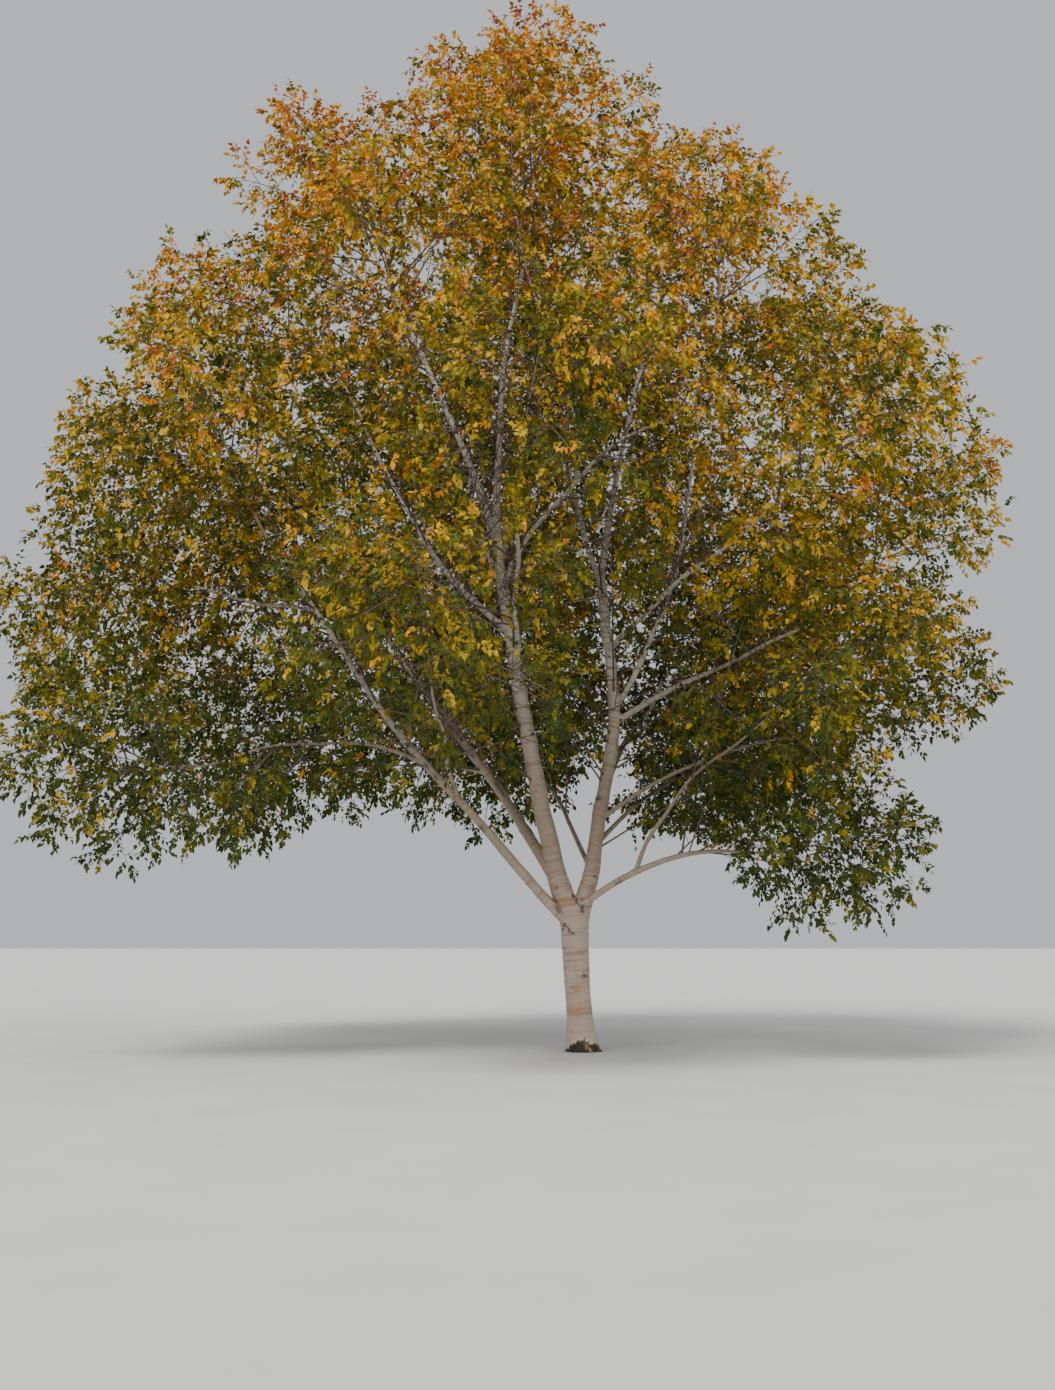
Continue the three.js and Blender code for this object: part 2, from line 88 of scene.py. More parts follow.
# The limbs. Each starts at the share `at` of the one that it grows from and runs to its tip, bowed
# by `bow` at mid-length. `thick` is its diameter at its root and at its tip. A bough's foliage keeps
# to a space of radius `reach` round its centre.
Row = namedtuple("Row", "name parent at tip bow thick centre reach", defaults=(None, None))
SEATS = {"leader": (-0.105, 0, 0), "right_stem": (0.085, 0.03, 0)}
STEMS = [
    Row("leader", "trunk", 0.9, (-1.19, -0.2, 7.06), (-0.07, 0, 0), (0.268, 0.15)),
    Row("right_stem", "trunk", 0.9, (0.29, 0.6, 6.77), (0.27, 0, 0), (0.225, 0.128)),
]
BOUGHS = [Row(*values) for values in (
    ("top", "leader", 0.97, (-0.77, 0, 11.3), (-0.15, 0.06, 0), (0.118, 0.044), (-0.85, 0, 13.05), 2.08),
    ("upper_left", "leader", 0.985, (-2.5, -0.65, 10.15), (0.13, 0, -0.15), (0.112, 0.048),
        (-3.2, -0.3, 11.9), 1.95),
    ("upper_back", "leader", 0.93, (-0.6, 1.05, 10.5), (0.18, 0, 0), (0.084, 0.04), (-0.7, 2.2, 11.9), 2),
    ("upper_right", "right_stem", 0.98, (1, 0.7, 10.1), (-0.06, 0, 0), (0.1, 0.044), (1.4, 0, 11.5), 1.85),
    ("upper_front", "right_arching", 0.52, (-0.56, -1.75, 9.75), (0.16, -0.12, -0.1), (0.044, 0.03),
        (-0.8, -2.3, 11.45), 1.9),
    ("left_middle", "leader", 0.74, (-3, -1, 8.5), (-0.12, 0, -0.23), (0.088, 0.042),
        (-4.35, -0.4, 9.85), 2.1),
    ("right_arching", "leader", 0.87, (1.05, -1.5, 8.35), (-0.13, 0, 0.3), (0.072, 0.036),
        (1.3, -2.85, 9.75), 2.05),
    ("inner_right", "right_stem", 0.955, (-0.18, 1.35, 8.7), (-0.06, 0, 0), (0.092, 0.046),
        (0.9, 3.1, 10), 2.1),
    ("right_upright", "right_stem", 0.6, (1.6, -0.4, 8.5), (0.16, 0, -0.38), (0.08, 0.04),
        (2.85, -0.1, 9.6), 2),
    ("front_left", "leader", 0.82, (-2, -1.8, 8.1), (0, 0, 0.1), (0.066, 0.038), (-2.35, -3, 9.7), 2),
    ("upper_back_left", "leader", 0.91, (-2.2, 1.8, 8.8), (0, 0.1, -0.06), (0.074, 0.04), (-3, 3, 10), 2.1),
    ("high_left", "left_middle", 0.42, (-4.3, -0.3, 7.6), (0, 0, -0.12), (0.05, 0.034),
        (-5.55, -0.2, 8), 1.95),
    ("low_left", "trunk", 0.84, (-3.99, -1.5, 6.44), (-0.12, 0, -0.12), (0.14, 0.046),
        (-4.4, -3.1, 7.7), 2.1),
    ("back_left", "leader", 0.1, (-3.1, 2, 6.3), (0.14, 0, -0.12), (0.165, 0.066), (-4.4, 3.2, 7.6), 2.1),
    ("back", "leader", 0.5, (-1.1, 2.9, 6.6), (0, 0, 0.15), (0.092, 0.048), (-1, 4.7, 7.6), 2.1),
    ("back_right", "right_stem", 0.36, (1.7, 2.5, 5.9), (0, 0, 0.15), (0.088, 0.046), (2.8, 3.7, 7.4), 2.1),
    ("long_right", "right_stem", 0.56, (3.3, 0.5, 5.95), (0, 0, 0.06), (0.086, 0.04), (4.35, 0.1, 7.4), 1.95),
    ("front_right", "right_stem", 0.76, (1.8, -2.1, 6.5), (0, 0, 0.1), (0.078, 0.04), (2.8, -3.3, 7.5), 2.1),
    ("front", "leader", 0.62, (-0.9, -2.9, 6.8), (0, 0, 0.12), (0.078, 0.044), (-0.7, -4.6, 7.6), 2),
    ("far_left", "low_left", 0.88, (-5.3, -1.2, 6.2), (0, 0, -0.06), (0.046, 0.03), (-6.4, -0.5, 6), 1.9),
    ("lowest_left", "low_left", 0.49, (-4.6, -1.7, 3.8), (0, 0, 0.26), (0.052, 0.028),
        (-5.6, -2, 3.95), 1.95),
    ("front_skirt", "low_left", 0.38, (-1.9, -3.3, 4.5), (0, 0, -0.06), (0.052, 0.03), (-1.9, -4.9, 5), 2),
    ("back_left_skirt", "back_left", 0.42, (-3.3, 1.9, 4.4), (0, 0.1, 0), (0.062, 0.034),
        (-4.9, 2.7, 4.7), 2.1),
    ("inner_back", "right_stem", 0.13, (-0.9, 3.1, 4.4), (0, 0, 0.24), (0.066, 0.038), (-1.5, 4.9, 4.9), 2.1),
    ("back_right_skirt", "right_stem", 0.2, (2.3, 2.6, 4.2), (0, 0, 0.24), (0.066, 0.036), (3, 4, 4.7), 2.1),
    ("right_skirt", "right_stem", 0.27, (2.9, 0.3, 4.3), (0, 0, 0.2), (0.062, 0.034),
        (4.15, 0.4, 5.25), 1.85),
    ("low_right", "trunk", 0.965, (2.06, -1.3, 2.63), (0, 0, 0.26), (0.1, 0.042), (2.95, -1.85, 2.8), 1.5),
    ("rising_right", "low_right", 0.38, (1.8, -1.7, 3.9), (-0.12, 0, 0.12), (0.058, 0.034),
        (2.7, -2.85, 4.85), 1.85),
)]

# How a limb is shaped: its taper, its collar at the root, and how far it wanders from a smooth bow.
LIMB_PIECES = 10
TAPER = 0.85
COLLAR = 0.3
COLLAR_SHARE = 0.05
WANDER = 0.011
WAVES = 1.5

# The space of a mass, its stem and its first twigs, as in the solids.
FLATTENING = 0.88
SPACE_GAP = 0.03
LIMB_MARGIN = 0.015
STEM_BEYOND = 0.72
STEM_KNEE = 0.35
STEM_RINGS = 3
GOLDEN_ANGLE = 137.508
TWIGS = 7
TWIG_SHARES = (0.12, 0.96)
TWIG_ANGLES = (78, 46)
TWIG_ANGLE_SPREAD = 16
TWIG_TURN_SPREAD = 40
TWIG_LIFT = 0.12
TWIG_THICK = 0.026
TWIG_LENGTHS = (0.26, 2.3)
TWIG_BARE_SHARE = 0.25
SPRAY_LENGTHS = (0.62, 1.4)
SPRAY_OVERHANG = 0.8
# A first twig goes on past where the solid's ends, as far as its spray reaches.
TWIG_FILL = 0.94
TWIG_RUN_ON = 1.1

UP = np.array([0.0, 0.0, 1.0])
NEARLY_UPRIGHT = 0.97

# The camera of the photograph's viewing angle: eye height, distance, tilt and focal length, the
# last in units of the picture, which is 1055 wide and 1390 high.
CAMERA_PLACE = np.array([-0.752, -24.0, 1.6])
CAMERA_TILT = math.radians(7.76)
PICTURE = (1055, 1390)
FOCAL_LENGTH = 1740
SENSOR = 36

rng = np.random.default_rng(20261126)
bark_draw = np.random.default_rng(31)


# Shapes and directions

def unit(vectors):
    return vectors / np.maximum(np.linalg.norm(vectors, axis=-1, keepdims=True), 1e-12)


def lerp(low, high, share):
    return low + (high - low) * share


def belly(share):
    """A hump that is nothing at both ends of a limb and 1 halfway."""
    return 4 * share * (1 - share)


def fading(away, width):
    """1 where this is nothing, fading out within about twice the width."""
    return np.exp(-(away / width) ** 2)


def ring_angles(sides):
    return 2 * np.pi * np.arange(sides) / sides


def square_to(forward):
    """A direction square to each of these, level where that can be."""
    level = unit(np.cross(forward, UP))
    upright = np.abs(forward[..., 2:]) > NEARLY_UPRIGHT
    return np.where(upright, np.array([1.0, 0, 0]), level)


def turned_from(forward, angle, turn, lift):
    """A direction turned away from each of these by `angle`, on the side that `turn` gives, in degrees,
    and then bent upwards by `lift`."""
    angle = np.radians(angle)[..., None]
    turn = np.radians(turn)[..., None]
    side = square_to(forward)
    side = side * np.cos(turn) + np.cross(forward, side) * np.sin(turn)
    return unit(unit(forward * np.cos(angle) + side * np.sin(angle)) + UP * lift)


def direction_at(axis, share):
    step = 0.01
    return unit(axis(min(1, share + step)) - axis(max(0, share - step)))


# Limbs

def trunk_axis(share):
    share = np.asarray(share, float)
    across = TRUNK_LEAN * share + TRUNK_BOW * belly(share)
    return np.stack([across, 0 * share, TRUNK_HEIGHT * share], axis=-1)


def trunk_radius(share, angle=0.0):
    spread = np.exp(-share * TRUNK_HEIGHT / FLARE_HEIGHT)
    lobes = 1 + BUTTRESS_DEPTH * np.cos(BUTTRESSES * angle + BUTTRESS_TURN)
    swelling = FORK_SWELLING * share ** 4
    return TRUNK_DIAMETER / 2 * (1 + FLARE * spread * lobes + swelling - TRUNK_WAIST * belly(share))


def limb_axis(row, index, parent_axis):
    root = parent_axis(row.at) + np.array(SEATS.get(row.name, (0, 0, 0)))
    run = np.array(row.tip) - root
    bow = np.array(row.bow)
    side = unit(np.cross(run, UP))
    phase = math.radians(index * GOLDEN_ANGLE)

    def axis(share):
        share = np.asarray(share, float)[..., None]
        sway = WANDER * np.linalg.norm(run) * belly(share) * np.sin(2 * np.pi * WAVES * share + phase)
        return root + run * share + bow * belly(share) + side * sway + UP * sway * math.cos(phase)

    return axis


def limb_radius(row, share):
    root, tip = row.thick
    diameter = tip + (root - tip) * (1 - share) ** TAPER
    return diameter / 2 * (1 + COLLAR * np.exp(-share / COLLAR_SHARE))


axes = {"trunk": trunk_axis}
radii = {"trunk": trunk_radius}
waiting = list(enumerate(STEMS + BOUGHS))
while waiting:
    for index, row in [item for item in waiting if item[1].parent in axes]:
        axes[row.name] = limb_axis(row, index, axes[row.parent])
        radii[row.name] = lambda share, row=row: limb_radius(row, share)
    waiting = [item for item in waiting if item[1].name not in axes]
CORE_LIMBS = ("trunk", "leader", "right_stem")

piece_shares = np.arange(LIMB_PIECES + 1) / LIMB_PIECES
piece_starts = np.concatenate([axis(piece_shares[:-1]) for axis in axes.values()])
piece_ends = np.concatenate([axis(piece_shares[1:]) for axis in axes.values()])
piece_radii = np.concatenate([radii[name](piece_shares[:-1]) for name in axes])


def length_of(name):
    return float(np.linalg.norm(axes[name](1) - axes[name](0)))


def clears_limbs(root, tip):
    """Whether a straight twig stays off every limb, apart from the bare share at its root."""
    start = lerp(root, tip, TWIG_BARE_SHARE)
    u = tip - start
    v = piece_ends - piece_starts
    w = start - piece_starts
    uu, uv, vv, uw, vw = u @ u, v @ u, (v * v).sum(1), w @ u, (w * v).sum(1)
    spread = uu * vv - uv * uv
    s = np.where(spread > 1e-9 * uu * vv, np.clip((uv * vw - vv * uw) / spread, 0, 1), 0)
    t = np.clip((uv * s + vw) / vv, 0, 1)
    s = np.clip((uv * t - uw) / uu, 0, 1)
    gaps = np.linalg.norm(w + u * s[:, None] - v * t[:, None], axis=1)
    return bool(np.all(gaps >= TWIG_THICK / 2 + piece_radii + LIMB_MARGIN))


# The spaces that the masses keep to

def to_walls(places, directions, normals, offsets):
    """How far it is from each place to the nearest of these flat walls, along its direction."""
    towards = directions @ normals.T
    gaps = np.maximum(offsets - places @ normals.T, 0)
    return np.where(towards > 1e-9, gaps / np.maximum(towards, 1e-9), np.inf).min(-1)


class Space:
    """A flattened ball, cut off midway towards each neighbour."""

    def __init__(self, row, slack=0.0):
        others = [other for other in BOUGHS if other is not row]
        self.centre = np.array(row.centre, float)
        self.reach = row.reach
        away = np.array([other.centre for other in others]) - self.centre
        apart = np.linalg.norm(away, axis=1)
        reaches = np.array([other.reach for other in others])
        share = 0.5 + (row.reach ** 2 - reaches ** 2) / (2 * apart ** 2)
        self.normals = away / apart[:, None]
        self.offsets = self.normals @ self.centre + apart * share - SPACE_GAP / 2 + slack

    def room(self, places, directions):
        """How far it is from each place to the border, along its direction."""
        squash = np.array([1, 1, FLATTENING]) * self.reach
        p = (places - self.centre) / squash
        d = directions / squash
        a, b, c = (d * d).sum(-1), (p * d).sum(-1), (p * p).sum(-1) - 1
        room = (np.sqrt(np.maximum(b * b - a * c, 0)) - b) / a
        room = np.minimum(room, to_walls(places, directions, self.normals, self.offsets))
        outside = (places @ self.normals.T > self.offsets).any(-1)
        return np.where((c > 0) | outside, 0, room)


BOX_NORMALS = np.array([(-1, 0, 0), (0, -1, 0), (1, 0, 0), (0, 1, 0), (0, 0, 1)])
BOX_OFFSETS = np.array([-cad_box[0][0], -cad_box[0][1], cad_box[1][0], cad_box[1][1], cad_box[1][2]])


def room_in_box(places, directions):
    """How far it is from each place to the sides and the top of the solids' box."""
    return to_walls(places, directions, BOX_NORMALS, BOX_OFFSETS)


def seeded(index):
    """A repeatable run of numbers from 0 to 1, the same as the solids have."""
    state = 1000 + 77 * index
    while True:
        state = (state * 1664525 + 1013904223) % 2 ** 32
        yield state / 2 ** 32


def stem_curve(row, space):
    """The three control points of a mass's stem, from its bough's tip through the space's middle."""
    start = axes[row.name](1)
    through = unit(space.centre - start)
    reach = float(space.room(space.centre, through))
    length = np.linalg.norm(space.centre - start) + STEM_BEYOND * reach
    knee = start + direction_at(axes[row.name], 1) * length * STEM_KNEE
    return np.array([start, knee, start + through * length])


def along_curve(curve, share):
    """The place at a share of each curve, which is given by its root, its knee and its end."""
    share = np.asarray(share, float)[..., None]
    root, knee, end = np.moveaxis(curve, -2, 0)
    return root * (1 - share) ** 2 + knee * 2 * share * (1 - share) + end * share ** 2


def heading(curve, share):
    share = np.asarray(share, float)[..., None]
    root, knee, end = np.moveaxis(curve, -2, 0)
    return unit((knee - root) * (1 - share) + (end - knee) * share)


def straightened(curve, share):
    """The same curve as straight pieces between the few rings that the solids have."""
    ring = min(STEM_RINGS - 1, int(share * STEM_RINGS))
    low = along_curve(curve, ring / STEM_RINGS)
    high = along_curve(curve, (ring + 1) / STEM_RINGS)
    return lerp(low, high, share * STEM_RINGS - ring)


def first_twigs(curve, space, random):
    """The twigs that the solids have, each by its root, its direction and its length with its spray."""
    found = []
    axis = lambda share: straightened(curve, share)
    for i in range(TWIGS):
        share = lerp(*TWIG_SHARES, (i + 0.5) / TWIGS)
        angle = lerp(*TWIG_ANGLES, share) + TWIG_ANGLE_SPREAD * (next(random) - 0.5)
        turn = i * GOLDEN_ANGLE + TWIG_TURN_SPREAD * (next(random) - 0.5)
        direction = turned_from(direction_at(axis, share), angle, turn, TWIG_LIFT)
        root = axis(share)
        room = float(space.room(root, direction))
        if room < TWIG_LENGTHS[0] + SPRAY_LENGTHS[0]:
            continue
        length = float(np.clip(room - SPRAY_OVERHANG * SPRAY_LENGTHS[1], *TWIG_LENGTHS))
        tip = root + direction * length
        if clears_limbs(root, tip):
            length = min(TWIG_FILL * room, length + TWIG_RUN_ON)
            found.append((along_curve(curve, share), direction, length))
    return found


# Finer growth. Each order of twigs leaves the one before by the same rule as the first, set round it at
# the golden angle. The length that a twig wants is a least one and a share of its parent's, and `bend`
# is how far it rises halfway and hangs at its end, as shares of its length.
Order = namedtuple("Order", "spacing most shares angles lengths fall lift wanted bend")
SPRIGS = Order(0.15, 11, (0.14, 0.97), (68, 42), (0.14, 0.95), 0.5, 0.1, (0.3, 0.3), (0.03, 0.06))
SHOOTS = Order(0.09, 8, (0.18, 0.98), (66, 40), (0.12, 0.34), 0.3, 0.02, (0.17, 0.22), (0.02, 0.06))
FIRST_BEND = (0.05, 0.03)
LENGTH_SPREAD = (0.72, 1.12)
FURTHER_SHARES = (0.3, 0.92)
END_SHOOT_AT = 0.88
END_SHOOT_LENGTHS = (0.1, 0.2)
WALL_SLACK = 0.3

# How many twigs a mass has beyond the solid's: more on the far side, where it closes the crown behind
# the open limbs, and most in front, where some of its leaves give way to the limbs behind it.
MIDDLE_TWIGS = 9
OUTER_TWIGS = 11
FOREMOST_TWIGS = 16
BACK_FROM = 1.5
FRONT_FROM = -2.5
FOREMOST_FROM = -4


def curved(roots, directions, lengths, bend):
    """Twigs as curves: each rises a little on the way and its end hangs a little."""
    arch, droop = bend
    knees = roots + directions * lengths[:, None] * 0.5 + UP * (arch * lengths)[:, None]
    ends = roots + directions * lengths[:, None] - UP * (droop * lengths)[:, None]
    return np.stack([roots, knees, ends], axis=1)


def sizes_of(curves):
    return np.linalg.norm(curves[:, 2] - curves[:, 0], axis=1)


def middles_of(curves):
    return along_curve(curves, np.full(len(curves), 0.5))


def branch(parents, order, space):
    """Twigs along each parent, by the order's rule: their roots, directions and lengths."""
    lengths = sizes_of(parents)
    counts = np.clip(np.round(lengths / order.spacing), 2, order.most).astype(int)
    owner = np.repeat(np.arange(len(parents)), counts)
    place = np.arange(len(owner)) - np.repeat(np.cumsum(counts) - counts, counts)
    share = lerp(*order.shares, (place + 0.5) / counts[owner])
    angle = lerp(*order.angles, share) + TWIG_ANGLE_SPREAD * (rng.random(len(owner)) - 0.5)
    start = 360 * rng.random(len(parents))[owner]
    turn = start + place * GOLDEN_ANGLE + TWIG_TURN_SPREAD * (rng.random(len(owner)) - 0.5)
    direction = turned_from(heading(parents[owner], share), angle, turn, order.lift)
    root = along_curve(parents[owner], share)
    least, growth = order.wanted
    length = (least + growth * lengths[owner]) * (1 - order.fall * share)
    length = length * lerp(*LENGTH_SPREAD, rng.random(len(owner)))
    if space is not None:
        length = np.minimum(length, TWIG_FILL * space.room(root, direction))
    length = np.minimum(length, room_in_box(root, direction))
    kept = length > order.lengths[0]
    length = np.minimum(length, order.lengths[1])
    return root[kept], direction[kept], length[kept]


def further_twigs(row):
    if row.centre[1] < FOREMOST_FROM:
        return FOREMOST_TWIGS
    if row.centre[1] < FRONT_FROM or row.centre[1] > BACK_FROM:
        return OUTER_TWIGS
    return MIDDLE_TWIGS


def grow_mass(index, row):
    """A mass's stem, first twigs, sprigs and shoots, as four sets of curves."""
    exact, loose = Space(row), Space(row, WALL_SLACK)
    stem = stem_curve(row, exact)
    first = first_twigs(stem, exact, seeded(index))
    roots, directions, lengths = [np.array(column) for column in zip(*first)]

    count = further_twigs(row)
    share = lerp(*FURTHER_SHARES, (np.arange(count) + 0.5) / count)
    spread = rng.random((2, count)) - 0.5
    angle = lerp(*TWIG_ANGLES, share) + TWIG_ANGLE_SPREAD * spread[0]
    turn = (np.arange(count) + 0.5) * GOLDEN_ANGLE + TWIG_TURN_SPREAD * spread[1]
    more = turned_from(heading(stem[None], share), angle, turn, TWIG_LIFT)
    more = np.concatenate([more, heading(stem[None], np.array([1.0]))])
    seats = np.concatenate([along_curve(stem[None], share), stem[2:]])
    room = np.minimum(TWIG_FILL * loose.room(seats, more), room_in_box(seats, more))
    kept = room > SPRIGS.lengths[0]
    roots = np.concatenate([roots, seats[kept]])
    directions = np.concatenate([directions, more[kept]])
    lengths = np.concatenate([lengths, np.minimum(room[kept], TWIG_LENGTHS[1])])

    first = curved(roots, directions, lengths, FIRST_BEND)
    sprigs = curved(*branch(np.concatenate([stem[None], first]), SPRIGS, loose), SPRIGS.bend)
    sprigs = sprigs[~in_the_way(middles_of(sprigs), SPRIGS_GIVE_WAY)]
    return stem, first, sprigs, shoots_of(sprigs, loose)


def shoots_of(sprigs, space):
    """The leafy shoots along each sprig, and one that goes on from near its end."""
    roots, directions, lengths = branch(sprigs, SHOOTS, space)
    ends = np.full(len(sprigs), END_SHOOT_AT)
    roots = np.concatenate([roots, along_curve(sprigs, ends)])
    directions = np.concatenate([directions, heading(sprigs, ends)])
    lengths = np.concatenate([lengths, lerp(*END_SHOOT_LENGTHS, rng.random(len(sprigs)))])
    lengths = np.minimum(lengths, room_in_box(roots, directions))
    kept = lengths > SHOOTS.lengths[0] / 2
    return curved(roots[kept], directions[kept], lengths[kept], SHOOTS.bend)


# Twigs on the limbs themselves. None grow where the leaves of the masses crowd them, and the crown is
# open under a height that goes by the distance from the trunk, and is lower on the right.
SIDE_SPRIGS = SPRIGS._replace(wanted=(0.2, 0.25))
SIDE_BARE = 0.9
SIDE_END = 0.98
SIDE_SPACING = 0.1
SIDE_LENGTHS = (0.6, 3.0)
SHORT_SIDE = 1.6
LONG_WITHIN = 0.8
LEAFY_FROM = 0.75
CROWD_CUBE = 0.5
CROWDED = 3
OPEN_BELOW = ((0, 1.8, 3.2, 5, 9), (4.3, 4.1, 3.3, 2.4, 2.2))
OPEN_MIDDLE = -0.3
LOWER_ON_RIGHT = 1.3
RIGHT_FROM = 0.6


def crowd_of(places, seats):
    """How many of the places share a cube with each seat."""
    cells = lambda points: [tuple(cell) for cell in np.floor(points / CROWD_CUBE).astype(int)]
    held = Counter(cells(places))
    return np.array([held[cell] for cell in cells(seats)])


def in_open_air(place):
    """Under the dome of the crown, where nothing grows round the trunk."""
    apart = math.hypot(place[0] - OPEN_MIDDLE, place[1])
    lower = LOWER_ON_RIGHT * np.clip(place[0] - RIGHT_FROM, 0, 1)
    return place[2] < np.interp(apart, *OPEN_BELOW) - lower


def grow_side_twigs(leafy):
    """Twigs on the limbs themselves, wherever the masses leave room, and what these twigs carry."""
    found = []
    for row in STEMS + BOUGHS:
        axis = axes[row.name]
        long = length_of(row.name)
        bare = SIDE_BARE / long
        count = int(long * (SIDE_END - bare) / SIDE_SPACING)
        for i in range(count):
            share = lerp(bare, SIDE_END, (i + 0.5) / count)
            angle = lerp(*TWIG_ANGLES, share) + TWIG_ANGLE_SPREAD * (rng.random() - 0.5)
            turn = i * GOLDEN_ANGLE + 360 * rng.random()
            direction = turned_from(direction_at(axis, share), angle, turn, TWIG_LIFT)
            root = axis(share)
            length = min(lerp(*SIDE_LENGTHS, rng.random()), float(room_in_box(root, direction)))
            if how_far_out((root + direction * length)[None])[0] > LONG_WITHIN:
                length = min(length, SHORT_SIDE)
            if length < SIDE_LENGTHS[0] / 2:
                continue
            tip = root + direction * length
            if in_open_air(lerp(root, tip, 0.5)) or in_open_air(tip):
                continue
            if clears_limbs(root, tip):
                found.append((root, direction, length))
    roots, directions, lengths = [np.array(column) for column in zip(*found)]
    kept = crowd_of(leafy, roots + directions * (LEAFY_FROM * lengths)[:, None]) < CROWDED
    first = curved(roots[kept], directions[kept], lengths[kept], FIRST_BEND)
    sprigs = curved(*branch(first, SIDE_SPRIGS, None), SPRIGS.bend)
    return first, sprigs, shoots_of(sprigs, None)


# What the camera sees of the limbs: leaves in front of them are thinned out, as the photograph shows
# the limbs nearly to their tips.
SIGHT_MARGIN = 2.7
HIDING = (0.96, 0.7)
SHOWN_TO = 0.92
SIGHT_SAMPLES = 160
SPRIGS_GIVE_WAY = 0.5
# The boughs that stay behind their leaves. The photograph shows the others.
HIDDEN = {
    "upper_back", "upper_front", "front_left", "upper_back_left", "high_left", "back", "back_right",
    "front_right", "front", "front_skirt", "back_left_skirt", "back_right_skirt",
}

# Where the crown is open: place and half sizes, in the picture. Sky shows through the upper ones, and
# the last is the hollow between the right side of the crown and its skirt.
OPEN_SPOTS = [
    (356, 260, 28, 20), (430, 268, 20, 34), (286, 320, 18, 16), (332, 333, 22, 14), (580, 110, 20, 18),
    (742, 282, 34, 22), (700, 180, 26, 20), (916, 762, 66, 38),
]
GAP_THINNING = 0.36


def in_picture(places):
    """Where places fall in the picture, and how far they are from the camera along its view."""
    from_eye = places - CAMERA_PLACE
    cosine, sine = math.cos(CAMERA_TILT), math.sin(CAMERA_TILT)
    depth = from_eye[:, 1] * cosine + from_eye[:, 2] * sine
    rise = from_eye[:, 2] * cosine - from_eye[:, 1] * sine
    x = PICTURE[0] / 2 + FOCAL_LENGTH * from_eye[:, 0] / depth
    y = PICTURE[1] / 2 - FOCAL_LENGTH * rise / depth
    return x, y, depth


def sight_map():
    """For each unit of the picture, how far the nearest limb in sight is, and how clearly it shows."""
    far = np.zeros((PICTURE[1], PICTURE[0]))
    clear = np.zeros_like(far)
    for name, axis in axes.items():
        if name in HIDDEN:
            continue
        shares = np.linspace(0, 1 if name in CORE_LIMBS else SHOWN_TO, SIGHT_SAMPLES)
        x, y, depth = in_picture(axis(shares))
        size = FOCAL_LENGTH * radii[name](shares) / depth + SIGHT_MARGIN
        for share, px, py, near, reach in zip(shares, x, y, depth, size):
            low_x, high_x = int(max(0, px - reach)), int(min(PICTURE[0], px + reach + 1))
            low_y, high_y = int(max(0, py - reach)), int(min(PICTURE[1], py + reach + 1))
            window = np.s_[low_y:high_y, low_x:high_x]
            closer = (far[window] == 0) | (far[window] > near)
            far[window][closer] = near
            clear[window][closer] = lerp(*HIDING, share)
    return far, clear


def in_the_way(places, eager=1.0):
    """Which places are to be left empty so that limbs and sky show."""
    x, y, depth = in_picture(places)
    inside = (x >= 0) & (x < PICTURE[0] - 1) & (y >= 0) & (y < PICTURE[1] - 1)
    column, line = np.where(inside, x, 0).astype(int), np.where(inside, y, 0).astype(int)
    draw = rng.random(len(places))
    hides = inside & (depth < limb_far[line, column]) & (draw < eager * limb_clear[line, column])
    for gap_x, gap_y, half_x, half_y in OPEN_SPOTS:
        in_gap = ((x - gap_x) / half_x) ** 2 + ((y - gap_y) / half_y) ** 2 < 1
        hides |= in_gap & (draw < eager * GAP_THINNING)
    return hides


# Deep inside the crown little light comes in, so there are fewer shoots.
CROWN_MIDDLE = np.array([-0.9, 0.0, 8.0])
CROWN_HALF = np.array([7.0, 7.0, 6.5])
SHADE_BELOW = 0.7
SHADE_DEPTH = 0.3
MOST_SHADED = 0.6
MOST_IN_CUBE = 12


def how_far_out(places):
    """Nothing in the middle of the crown, 1 at its border."""
    return np.linalg.norm((places - CROWN_MIDDLE) / CROWN_HALF, axis=1)


def in_the_shade(places):
    share = np.clip((SHADE_BELOW - how_far_out(places)) / SHADE_DEPTH, 0, MOST_SHADED)
    return rng.random(len(places)) < share


def crowded_out(places):
    """Which shoots die off because too many others share their light."""
    return rng.random(len(places)) * crowd_of(places, places) > MOST_IN_CUBE


limb_far, limb_clear = sight_map()

stems, firsts, sprig_sets, shoot_sets = zip(*[grow_mass(index, row) for index, row in enumerate(BOUGHS)])
first, sprigs, shoots = grow_side_twigs(middles_of(np.concatenate(shoot_sets)))
firsts = np.concatenate([*firsts, first])
sprigs = np.concatenate([*sprig_sets, sprigs])
shoots = np.concatenate([*shoot_sets, shoots])
for gives_way in (in_the_shade, crowded_out, in_the_way):
    shoots = shoots[~gives_way(middles_of(shoots))]


# Meshes from arrays

def in_scene(name, data):
    """An object with this data, in the scene."""
    made = bpy.data.objects.new(name, data)
    bpy.context.scene.collection.objects.link(made)
    return made


def mesh_piece(name, places, corners, smooth, material=None, marks=None):
    """An object with this mesh of three-cornered faces, with its marks as attributes of the points."""
    mesh = bpy.data.meshes.new(name)
    mesh.vertices.add(len(places))
    mesh.vertices.foreach_set("co", np.asarray(places, np.float32).ravel())
    mesh.loops.add(3 * len(corners))
    mesh.loops.foreach_set("vertex_index", np.asarray(corners, np.int32).ravel())
    mesh.polygons.add(len(corners))
    mesh.polygons.foreach_set("loop_start", np.arange(0, 3 * len(corners), 3, dtype=np.int32))
    mesh.polygons.foreach_set("use_smooth", np.full(len(corners), smooth))
    mesh.update(calc_edges=True)
    if material:
        mesh.materials.append(material)
    for mark, values in (marks or {}).items():
        kind, field = ("FLOAT_VECTOR", "vector") if values.ndim == 2 else ("FLOAT", "value")
        attribute = mesh.attributes.new(mark, kind, "POINT")
        attribute.data.foreach_set(field, np.asarray(values, np.float32).ravel())
    return in_scene(name, mesh)


